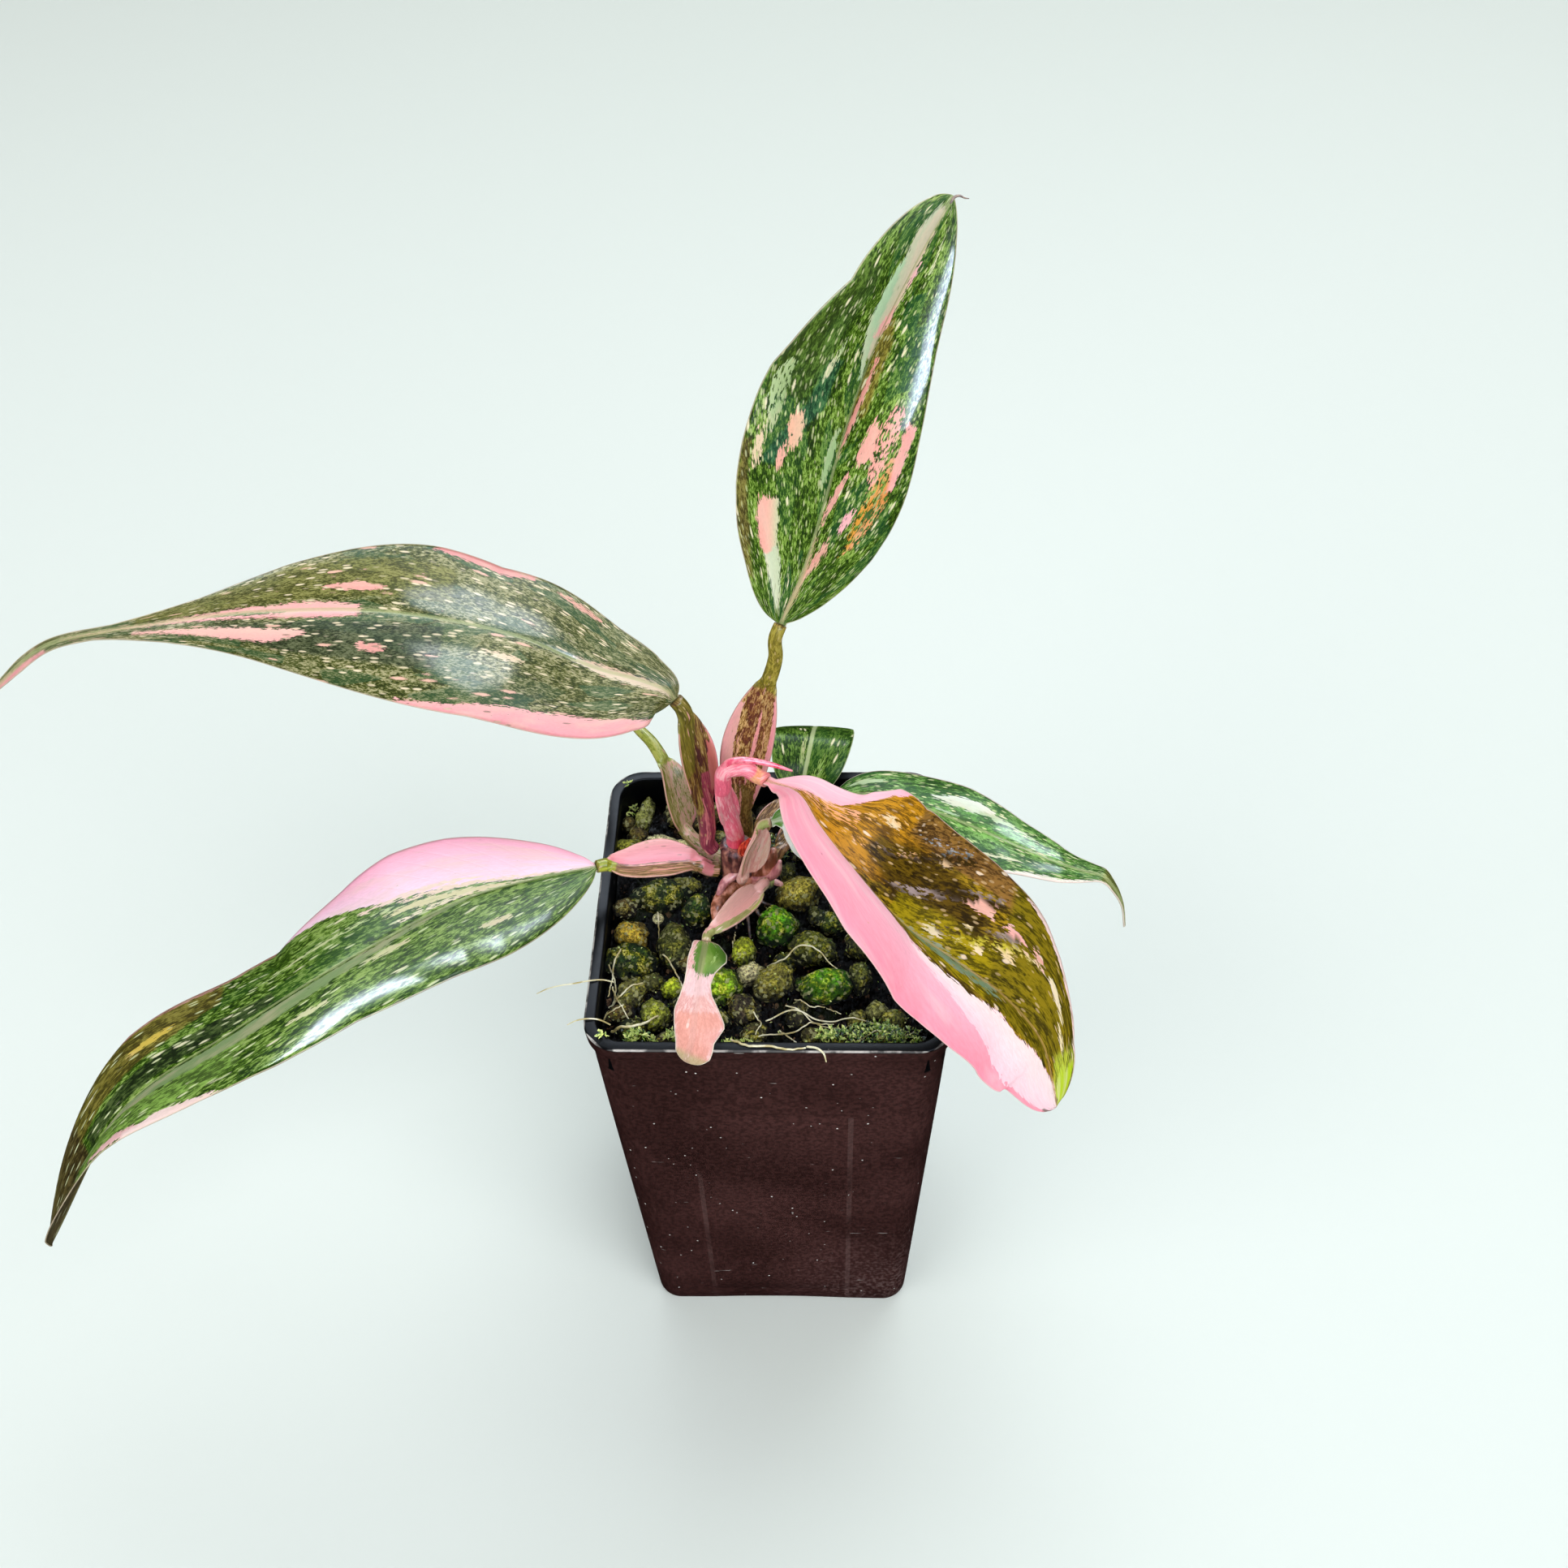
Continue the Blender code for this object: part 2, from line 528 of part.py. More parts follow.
def make_pot():
    rings = []
    lip = POT_HEIGHT - RIM_BAND
    low, high = PANEL_Z
    inset, rise = FOOT_ROUND
    rings.append(square_ring(wall_half(0) - inset, corner_at(0) - inset, 0))
    rings.append(square_ring(wall_half(0), corner_at(0), rise))
    rings.append(square_ring(wall_half(low), corner_at(low), low))
    rings.append(square_ring(wall_half(low), corner_at(low), low + PANEL_RAMP, PANEL_RISE))
    rings.append(square_ring(wall_half(high), corner_at(high), high - PANEL_RAMP, PANEL_RISE))
    rings.append(square_ring(wall_half(high), corner_at(high), high))
    rings.append(square_ring(wall_half(lip), corner_at(lip), lip))
    rings.append(square_ring(wall_half(lip) + RIM_OUT, corner_at(lip), lip + EDGE_ROUND))
    rings.append(square_ring(POT_RIM_HALF, RIM_CORNER, POT_HEIGHT - EDGE_ROUND))
    rings.append(square_ring(POT_RIM_HALF - EDGE_ROUND, RIM_CORNER, POT_HEIGHT))
    inner = wall_half(POT_HEIGHT) - POT_WALL - RIM_IN
    corner = RIM_CORNER - POT_WALL - RIM_IN
    rings.append(square_ring(inner + EDGE_ROUND, corner, POT_HEIGHT))
    rings.append(square_ring(inner, corner, POT_HEIGHT - EDGE_ROUND))
    rings.append(square_ring(inner, corner, lip + RIM_IN + 2 * EDGE_ROUND))
    rings.append(square_ring(wall_half(lip) - POT_WALL, corner_at(lip) - POT_WALL, lip))
    rings.append(square_ring(wall_half(POT_FLOOR) - POT_WALL, corner_at(0) - POT_WALL,
                             POT_FLOOR))
    verts, faces = lofted(rings)
    count = len(rings[0])
    faces.append(tuple(range(count)))
    faces.append(tuple(range(len(verts) - count, len(verts))))
    mat = material("black_plastic", (0.055, 0.05, 0.055), 0.42)
    pot = make_object("pot", verts, faces, mat, smooth=False)
    cut_foot_arches(pot)
    cut_drain_holes(pot)


def cut_foot_arches(pot):
    length, height, depth = FOOT_ARCH
    steps = 8
    for side in range(4):
        pts = [(-length / 2, -1)]
        for k in range(steps + 1):
            y = -length / 2 + length * k / steps
            pts.append((y, height * math.sin(math.pi * k / steps) - 0.02))
        pts.append((length / 2, -1))
        ring_in = [(wall_half(0) - depth, y, z) for y, z in pts]
        ring_out = [(wall_half(0) + 3, y, z) for y, z in pts]
        verts, faces = lofted([ring_in, ring_out])
        faces.append(tuple(range(len(pts))))
        faces.append(tuple(range(len(pts), 2 * len(pts))))
        cutter = make_object("cutter", verts, faces, None)
        cutter.data.transform(Matrix.Rotation(side * math.pi / 2, 4, "Z"))
        boolean(pot, cutter, "DIFFERENCE")


def cut_drain_holes(pot):
    spots = []
    for sx in (-1, 1):
        for sy in (-1, 1):
            spots.append((sx * DRAIN_CORNER[0], sy * DRAIN_CORNER[0], DRAIN_CORNER[1]))
    for sx, sy in ((1, 0), (-1, 0), (0, 1), (0, -1)):
        spots.append((sx * DRAIN_SIDE[0], sy * DRAIN_SIDE[0], DRAIN_SIDE[1]))
    for x, y, radius in spots:
        boolean(pot, cylinder(radius, -1, POT_FLOOR + 1, x, y, 16), "DIFFERENCE")


def mix_height(x, y):
    """Uneven top of the growing mix, lower towards the back corners."""
    bumps = 0.9 * math.sin(0.17 * x + 0.6) * math.sin(0.21 * y + 1.1)
    bumps += 0.6 * math.sin(0.43 * x - 0.31 * y)
    mound = 1.2 * math.exp(-((x - STEM_AXIS[0]) ** 2 + (y - STEM_AXIS[1]) ** 2) / 260)
    front = 1.8 * max(0.0, (-y - 26) / 16)
    return MIX_TOP + bumps + mound + front


def make_soil():
    """Soil filling the pot, with an uneven top."""
    rings = []
    for z in (POT_FLOOR + GAP, MIX_TOP - 4):
        rings.append(square_ring(mix_half(z), corner_at(z) - POT_WALL, z))
    rim = square_ring(mix_half(MIX_TOP), corner_at(MIX_TOP) - POT_WALL, MIX_TOP)
    for share in MIX_RINGS:
        drop = MIX_EDGE_DROP if share == 1.0 else 0.0
        ring = []
        for x, y, _ in rim:
            px, py = x * share, y * share
            top = min(mix_height(px, py) - drop, POT_HEIGHT - RIM_BAND - 2 * GAP)
            ring.append((px, py, top))
        rings.append(ring)
    verts, faces = lofted(rings)
    count = len(rim)
    verts.append((0, 0, mix_height(0, 0)))
    last = len(verts) - 1
    for j in range(count):
        a = (len(rings) - 1) * count
        faces.append((a + j, a + (j + 1) % count, last))
    faces.append(tuple(range(count)))
    mat = material("growing_mix", (0.20, 0.21, 0.11), 0.85)
    mix = make_object("growing_mix", verts, faces, mat)
    bm = bmesh.new()
    bm.from_mesh(mix.data)
    bmesh.ops.triangulate(bm, faces=bm.faces)
    bm.to_mesh(mix.data)
    bm.free()
    return mix


def make_pebble(rng, x, y, size):
    bm = bmesh.new()
    bmesh.ops.create_icosphere(bm, subdivisions=1, radius=1.0)
    shape = Matrix.Diagonal((size * rng.uniform(0.95, 1.15), size * rng.uniform(0.75, 0.95),
                             size * rng.uniform(0.6, 0.75), 1))
    turn = Matrix.Rotation(rng.uniform(0, math.pi), 4, "Z")
    tilt = Matrix.Rotation(rng.uniform(-0.3, 0.3), 4, "X")
    for v in bm.verts:
        v.co *= 1 + rng.uniform(-0.07, 0.07)
    centre = Vector((x, y, mix_height(x, y) + size * PEBBLE_LIFT))
    bm.transform(Matrix.Translation(centre) @ turn @ tilt @ shape)
    verts = [tuple(v.co) for v in bm.verts]
    faces = [tuple(v.index for v in f.verts) for f in bm.faces]
    bm.free()
    return make_object("pebble", verts, faces, None)


def make_mix():
    """Soil with scattered pebbles joined to it and a hole for the stem."""
    mix = make_soil()
    rng = random.Random(PEBBLE_SEED)
    placed = []
    pebbles = bpy.data.collections.new("pebbles")
    tries = 0
    while len(placed) < PEBBLE_COUNT and tries < 4000:
        tries += 1
        size = rng.uniform(*PEBBLE_SIZE)
        limit = mix_half(MIX_TOP) - size * 1.15 - GAP
        x = rng.uniform(-limit, limit)
        y = rng.uniform(-limit, limit)
        if math.hypot(x - STEM_AXIS[0], y - STEM_AXIS[1]) < PEBBLE_KEEP_CLEAR + size:
            continue
        if any(math.hypot(x - a, y - b) < PEBBLE_SPACING * (size + c) for a, b, c in placed):
            continue
        placed.append((x, y, size))
        stone = make_pebble(rng, x, y, size)
        bpy.context.scene.collection.objects.unlink(stone)
        pebbles.objects.link(stone)
    bpy.context.scene.collection.children.link(pebbles)
    mod = mix.modifiers.new("pebbles", "BOOLEAN")
    mod.operand_type = "COLLECTION"
    mod.collection = pebbles
    mod.operation = "UNION"
    mod.solver = "MANIFOLD"
    apply_modifiers(mix)
    for stone in list(pebbles.objects):
        bpy.data.objects.remove(stone)
    bpy.data.collections.remove(pebbles)
    hole = cylinder(STEM_RADIUS + GAP, STEM_BOTTOM - GAP, POT_HEIGHT, *STEM_AXIS, 20)
    boolean(mix, hole, "DIFFERENCE")


def make_cone(start, end, r0, r1, sides):
    a, b = Vector(start), Vector(end)
    turn = (b - a).to_track_quat("Z", "Y").to_matrix()
    rings = []
    for centre, radius in ((a, r0), (a.lerp(b, 0.8), r1), (b, r1 * 0.55)):
        ring = []
        for k in range(sides):
            w = 2 * math.pi * k / sides
            ring.append(tuple(centre + turn @ Vector((radius * math.cos(w),
                                                      radius * math.sin(w), 0))))
        rings.append(ring)
    verts, faces = lofted(rings)
    faces.append(tuple(range(sides)))
    faces.append(tuple(range(2 * sides, 3 * sides)))
    return make_object("cone", verts, faces, None)


def make_stem():
    rings = []
    levels = ((STEM_BOTTOM, 0.8), (STEM_BOTTOM + 2, 1.0), (STEM_TOP - 1.2, 1.0), (STEM_TOP, 0.8))
    for z, share in levels:
        rings.append([(STEM_AXIS[0] + STEM_RADIUS * share * math.cos(2 * math.pi * k / STEM_SIDES),
                       STEM_AXIS[1] + STEM_RADIUS * share * math.sin(2 * math.pi * k / STEM_SIDES),
                       z) for k in range(STEM_SIDES)])
    verts, faces = lofted(rings)
    faces.append(tuple(range(STEM_SIDES)))
    faces.append(tuple(range(3 * STEM_SIDES, 4 * STEM_SIDES)))
    stem = make_object("stem", verts, faces, material("stem_bark", (0.38, 0.25, 0.14), 0.6))
    for start, end, r0, r1 in STUBS:
        boolean(stem, make_cone(start, end, r0, r1, 8), "UNION")


def main():
    for obj in list(bpy.data.objects):
        bpy.data.objects.remove(obj)
    make_pot()
    make_mix()
    make_stem()
    for name, spec in LEAVES.items():
        make_blade(name, spec)
        make_stalk(name, STALKS[name], spec)


main()
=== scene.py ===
# Pink princess philodendron in its square nursery pot. Lengths in the settings are millimetres
# unless a name says otherwise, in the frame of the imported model: z = 0 under the pot, the
# viewer towards -y.
import json
import math
import random
from functools import partial

import bmesh
import bpy
import numpy as np
from mathutils import Matrix, Vector, noise
from mathutils.bvhtree import BVHTree

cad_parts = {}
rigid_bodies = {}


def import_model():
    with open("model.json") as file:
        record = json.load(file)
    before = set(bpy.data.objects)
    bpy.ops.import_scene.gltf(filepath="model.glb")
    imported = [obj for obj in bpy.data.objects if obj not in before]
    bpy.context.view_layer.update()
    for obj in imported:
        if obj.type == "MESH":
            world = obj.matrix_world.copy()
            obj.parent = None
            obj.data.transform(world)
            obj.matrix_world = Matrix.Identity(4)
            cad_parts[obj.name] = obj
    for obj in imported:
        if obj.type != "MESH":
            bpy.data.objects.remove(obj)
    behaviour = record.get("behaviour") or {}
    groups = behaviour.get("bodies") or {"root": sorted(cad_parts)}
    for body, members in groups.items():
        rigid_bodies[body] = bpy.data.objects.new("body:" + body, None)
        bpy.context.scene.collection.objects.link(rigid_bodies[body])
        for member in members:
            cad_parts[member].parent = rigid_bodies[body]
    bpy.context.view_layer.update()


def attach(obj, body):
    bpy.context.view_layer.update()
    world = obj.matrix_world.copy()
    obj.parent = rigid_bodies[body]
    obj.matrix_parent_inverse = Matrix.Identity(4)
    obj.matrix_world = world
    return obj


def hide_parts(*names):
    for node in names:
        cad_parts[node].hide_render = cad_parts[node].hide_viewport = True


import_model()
mm = 0.001


def toLinear(code):
    out = []
    for k in (1, 3, 5):
        c = int(code[k:k + 2], 16) / 255
        out.append(c / 12.92 if c <= 0.04045 else ((c + 0.055) / 1.055) ** 2.4)
    return tuple(out)


# Short names for the kinds of shader node used here: Blender's type and what is set on it.
nodeKinds = dict(
    plus=("Math", dict(operation="ADD")), minus=("Math", dict(operation="SUBTRACT")),
    times=("Math", dict(operation="MULTIPLY")), timesPlus=("Math", dict(operation="MULTIPLY_ADD")),
    least=("Math", dict(operation="MINIMUM")), most=("Math", dict(operation="MAXIMUM")),
    above=("Math", dict(operation="GREATER_THAN")), below=("Math", dict(operation="LESS_THAN")),
    near=("Math", dict(operation="COMPARE")), size=("Math", dict(operation="ABSOLUTE")),
    zigzag=("Math", dict(operation="PINGPONG")),
    smooth=("MapRange", dict(interpolation_type="SMOOTHSTEP")),
    blend=("Mix", dict(data_type="RGBA")),
    multiply=("Mix", dict(data_type="RGBA", blend_type="MULTIPLY")),
    overlay=("Mix", dict(data_type="RGBA", blend_type="OVERLAY")),
    noise=("TexNoise", {}), cells=("TexVoronoi", {}), coordinates=("TexCoord", {}),
    mapping=("Mapping", {}), field=("Attribute", {}), ramp=("ValToRGB", {}), bump=("Bump", {}),
    split=("SeparateColor", {}), axes=("SeparateXYZ", {}))


def feed(node, values):
    for key, value in values.items():
        socket = node.inputs[key]
        if isinstance(value, bpy.types.NodeSocket):
            node.id_data.links.new(value, socket)
        elif isinstance(value, str):
            socket.default_value = (*toLinear(value), 1)
        else:
            socket.default_value = value


def addNode(tree, kind, *values, out="", stops=(), **named):
    # Values go to the sockets that show, in order. A name is a setting or else a socket.
    nodeType, settings = nodeKinds[kind]
    node = tree.nodes.new("ShaderNode" + nodeType)
    named = {**settings, **named}
    for key in [key for key in named if hasattr(node, key)]:
        setattr(node, key, named.pop(key))
    shown = [k for k, socket in enumerate(node.inputs) if socket.enabled]
    feed(node, {**dict(zip(shown, values)), **named})
    if stops:
        ramp = node.color_ramp.elements
        while len(ramp) < len(stops):
            ramp.new(0.5)
        for stop, (at, code) in zip(ramp, stops):
            stop.position = at
            stop.color = (*toLinear(code), 1)
    return node.outputs[out] if out else next(s for s in node.outputs if s.enabled)


def newMaterial(name):
    mat = bpy.data.materials.new(name)
    mat.use_nodes = True
    tree = mat.node_tree
    return mat, partial(addNode, tree), tree.nodes["Principled BSDF"]


def makePiece(name, verts, faces, mat, smooth=True):
    mesh = bpy.data.meshes.new(name)
    mesh.from_pydata((np.asarray(verts, float) * mm).tolist(), [], faces)
    mesh.update()
    obj = bpy.data.objects.new(name, mesh)
    bpy.context.scene.collection.objects.link(obj)
    mesh.materials.append(mat)
    mesh.polygons.foreach_set("use_smooth", [smooth] * len(mesh.polygons))
    return obj


def setField(obj, name, values):
    # one, three or four numbers for each point make a plain value, a vector or a colour
    values = np.asarray(values, np.float32).ravel()
    kind, key = {1: ("FLOAT", "value"), 3: ("FLOAT_VECTOR", "vector"),
                 4: ("FLOAT_COLOR", "color")}[len(values) // len(obj.data.vertices)]
    obj.data.attributes.new(name, kind, "POINT").data.foreach_set(key, values)


def settle(obj, slotName, *nodes):
    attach(obj, "root")
    if nodes:
        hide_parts(*nodes)
    return obj


# The camera stands where the photograph was taken from.
camera = dict(place=(14.58, -250.96, 481.21), pitch=48.517, yaw=2.416, roll=-1.761, lens=37.312,
              sensor=36.0)


def makeCamera(c):
    pitch, yaw, roll = (math.radians(c[k]) for k in ("pitch", "yaw", "roll"))
    turn = Matrix.Rotation(yaw, 3, "Z")
    ahead = turn @ Vector((0, math.cos(pitch), -math.sin(pitch)))
    up = turn @ Vector((0, math.sin(pitch), math.cos(pitch)))
    right = turn @ Vector((1, 0, 0))
    side = right * math.cos(roll) + up * math.sin(roll)
    top = up * math.cos(roll) - right * math.sin(roll)
    data = bpy.data.cameras.new("camera")
    data.lens = c["lens"]
    data.sensor_width = c["sensor"]
    data.clip_start = 0.01
    obj = bpy.data.objects.new("camera", data)
    bpy.context.scene.collection.objects.link(obj)
    pose = Matrix((side, top, -ahead)).transposed().to_4x4()
    pose.translation = Vector(c["place"]) * mm
    obj.matrix_world = pose
    bpy.context.scene.camera = obj


# Daylight from a window behind, with fill from both sides of the viewer. For each lamp: azimuth
# from -y towards +x, elevation, then distance, width and height in metres, watts and colour. The
# soft lamps light the surfaces, and the shine lamps show only in the gloss.
softLamps = dict(
    window=(165, 60, 2.6, 2.4, 1.6, 38.0, "#f4faf8"),
    leftFill=(-54, 30, 3.0, 2.4, 2.4, 50.0, "#fbfafb"),
    rightFill=(38, 44, 3.0, 2.2, 2.2, 66.0, "#fbfafb"),
)
shineLamps = dict(
    windowShine=(190, 50, 1.25, 2.2, 0.34, 76.0, "#e4f0ff"),
    roofShine=(120, 76, 1.2, 0.7, 0.7, 14.0, "#e8f2ff"),
    marginShine=(30, 36, 1.2, 1.4, 0.38, 62.0, "#d8e6ff"),
    sideShine=(98, 16, 1.1, 0.5, 0.5, 1.4, "#eef4ff"),
)
world = dict(colour="#f4f8f4", strength=0.26)
aimPoint = (0, 0, 190)


def makeLights():
    scene = bpy.context.scene
    scene.view_settings.view_transform = "Standard"
    for name, lamp in {**softLamps, **shineLamps}.items():
        az, el, far, wide, high, watts, colour = lamp
        a, e = math.radians(az), math.radians(el)
        out = Vector((math.sin(a) * math.cos(e), -math.cos(a) * math.cos(e), math.sin(e)))
        data = bpy.data.lights.new(name, "AREA")
        data.shape = "RECTANGLE"
        data.size = wide
        data.size_y = high
        data.energy = watts
        data.color = toLinear(colour)
        obj = bpy.data.objects.new(name, data)
        scene.collection.objects.link(obj)
        obj.location = Vector(aimPoint) * mm + out * far
        obj.rotation_euler = (-out).to_track_quat("-Z", "Y").to_euler()
        obj.visible_glossy = name in shineLamps
        obj.visible_diffuse = name in softLamps
    scene.world = bpy.data.worlds.new("sky")
    scene.world.use_nodes = True
    sky = scene.world.node_tree.nodes["Background"]
    feed(sky, {"Color": world["colour"], "Strength": world["strength"]})
    scene.world.cycles_visibility.glossy = False


floor = dict(half=2500.0, colours=("#d0d8d2", "#d5dbd6"), drift=1.5, roughness=0.7)


def makeFloor():
    mat, add, shader = newMaterial("paintedFloor")  # even matt paint, so it stays plain
    drift = add("noise", Scale=floor["drift"], Detail=1.0)
    colour = add("ramp", drift, stops=list(zip((0.3, 0.7), floor["colours"])))
    feed(shader, {"Base Color": colour, "Roughness": floor["roughness"]})
    h = floor["half"]
    obj = makePiece("floor", [(-h, -h, 0), (h, -h, 0), (h, h, 0), (-h, h, 0)], [(0, 1, 2, 3)], mat)
    obj.visible_glossy = False


makeCamera(camera)
makeLights()
makeFloor()
print("camera, lights and floor made")


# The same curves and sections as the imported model, read at finer steps.
def curveThrough(points, steps=24):
    p = np.asarray(points, float)
    gaps = np.linalg.norm(np.diff(p, axis=0), axis=1)
    slope = np.diff(p, axis=0) / gaps[:, None]
    mid = slope[:-1] * gaps[1:, None] + slope[1:] * gaps[:-1, None]
    mid /= (gaps[:-1] + gaps[1:])[:, None]
    slopes = np.vstack([slope[:1], mid, slope[-1:]])
    out = []
    for i, gap in enumerate(gaps):
        for t in np.linspace(0, 1, steps, endpoint=False):
            rise = t * t * (3 - 2 * t)
            lead = gap * t * (1 - t) ** 2
            trail = gap * t * t * (t - 1)
            out.append(p[i] * (1 - rise) + p[i + 1] * rise
                       + slopes[i] * lead + slopes[i + 1] * trail)
    out.append(p[-1])
    out = np.array(out)
    lengths = np.linalg.norm(np.diff(out, axis=0), axis=1)
    return out, np.concatenate([[0], np.cumsum(lengths)])


def along(points, t):
    dense, length = curveThrough(points)
    total = length[-1]
    at = np.asarray(t) * total

    def sample(q):
        q = np.clip(q, 0, total)
        return np.stack([np.interp(q, length, dense[:, k]) for k in range(3)], -1)

    tangent = sample(at + total * 0.004) - sample(at - total * 0.004)
    tangent /= np.linalg.norm(tangent, axis=-1, keepdims=True)
    return sample(at), tangent


def blend(values, t):
    v = np.asarray(values, float)
    if len(v) == 1:
        v = np.repeat(v, 2, axis=0)
    x = np.linspace(0, 1, len(v))
    if v.ndim == 1:
        return np.interp(t, x, v)
    return np.stack([np.interp(t, x, v[:, k]) for k in range(v.shape[1])], -1)


def frameAlong(points, up, t):
    pos, tangent = along(points, t)
    face = blend(up, t)
    face -= (face * tangent).sum(-1, keepdims=True) * tangent
    face /= np.linalg.norm(face, axis=-1, keepdims=True)
    return pos, face, np.cross(tangent, face), tangent


def halfSection(width, fold, curl, s):
    c = np.where(np.abs(curl) < 1e-3, 1e-3, curl)
    across = width * (np.sin(fold + c * s) - np.sin(fold)) / c
    rise = -width * (np.cos(fold + c * s) - np.cos(fold)) / c
    return across, rise


def leafShape(t, widest, base, tipPower, tipFall, drip):
    grow = np.sin(math.pi / 2 * np.clip(t / widest, 0, 1)) ** base
    fade = (1 - np.clip((t - widest) / (1 - widest), 0, 1) ** tipPower) ** tipFall
    share = np.where(t < widest, grow, fade)
    return np.maximum(share, drip * np.clip((1 - t) * 8, 0, 1) * np.clip(t * 20, 0, 1))


def paint(patches, t, s, width, length, softness):
    # Fields of patches: how far inside the nearest one a point is, and its colour.
    reach = np.full(width.shape, -3.0)
    tint = np.zeros((*width.shape, 4))
    tint[..., 3] = 1
    for codes, rows, *cover in patches:
        ts = [r[0] for r in rows]
        low = np.interp(t, ts, [r[1] for r in rows])[:, None]
        high = np.interp(t, ts, [r[2] for r in rows])[:, None]
        ends = np.minimum(t - ts[0], ts[-1] - t)[:, None] * length
        sides = np.minimum((s - low) * width, (high - s) * width)
        f = np.clip(np.minimum(sides, ends / softness), -3, 3)
        shades = np.array([toLinear(c) for c in codes.split()])
        share = np.clip((s - low) / np.maximum(high - low, 1e-6), 0, 1)
        colour = blend(shades, share.ravel()).reshape(*width.shape, 3)
        over = f > reach
        tint[over, :3] = colour[over]
        tint[over, 3] = cover[0] if cover else 1.0
        reach = np.maximum(reach, f)
    return reach, tint


def shadeZones(zones, t, s, width, length, soft):
    # Soft washes of colour laid over each other in order.
    amount = np.zeros(width.shape)
    tint = np.zeros((*width.shape, 4))
    tint[..., 3] = 1
    for codes, rows in zones:
        reach, colour = paint([(codes, rows)], t, s, width, length, 1.0)
        k = np.clip(reach / soft + 0.5, 0, 1)
        k = k * k * (3 - 2 * k)
        tint[..., :3] += (colour[..., :3] - tint[..., :3]) * k[..., None]
        tint[amount == 0, :3] = colour[amount == 0, :3]
        amount = 1 - (1 - amount) * (1 - k)
    return amount, tint


def sheetPiece(name, middle, upper, lower, tangent, fields, mat):
    # A closed sheet: the middle surface lifted to both sides and joined around its edge.
    rows, cols = middle.shape[:2]
    normal = np.cross(np.gradient(middle, axis=1), np.gradient(middle, axis=0))
    for row in (0, -1):
        lean = (normal[row] * tangent[row]).sum(-1, keepdims=True)
        normal[row] -= lean * tangent[row]
    normal /= np.linalg.norm(normal, axis=-1, keepdims=True)
    top = middle + normal * upper[..., None]
    bottom = middle - normal * lower[..., None]
    verts = np.concatenate([top.reshape(-1, 3), bottom.reshape(-1, 3)])
    grid = np.arange(rows * cols).reshape(rows, cols)
    a, b = grid[:-1, :-1].ravel(), grid[:-1, 1:].ravel()
    c, d = grid[1:, 1:].ravel(), grid[1:, :-1].ravel()
    shift = rows * cols
    faces = np.stack([a, b, c, d], 1).tolist() + (np.stack([d, c, b, a], 1) + shift).tolist()
    ring = [*grid[0], *grid[1:, -1], *grid[-1, -2::-1], *grid[-2:0:-1, 0]]
    for a, b in zip(ring, ring[1:] + ring[:1]):
        faces.append([int(a), int(a) + shift, int(b) + shift, int(b)])
    obj = makePiece(name, verts, faces, mat)
    for key, values in fields.items():
        setField(obj, key, np.concatenate([values.ravel(), values.ravel()]))
    setField(obj, "under", np.repeat([0.0, 1.0], shift))
    return obj


patchSoft = 2.2  # how slowly a patch closes towards its ends


def paintedFields(spec, t, s, widths, length, soft):
    # The soft zones, then two layers of patches, as leafSurface reads them.
    place = (t, s, widths, length)
    zone, zoneTint = shadeZones(spec["zones"], *place, soft)
    patchA, tintA = paint(spec["sectors"], *place, patchSoft)
    patchB, tintB = paint(spec["over"], *place, patchSoft)
    return dict(zone=zone, zoneTint=zoneTint, patchA=patchA, tintA=tintA, patchB=patchB,
                tintB=tintB)


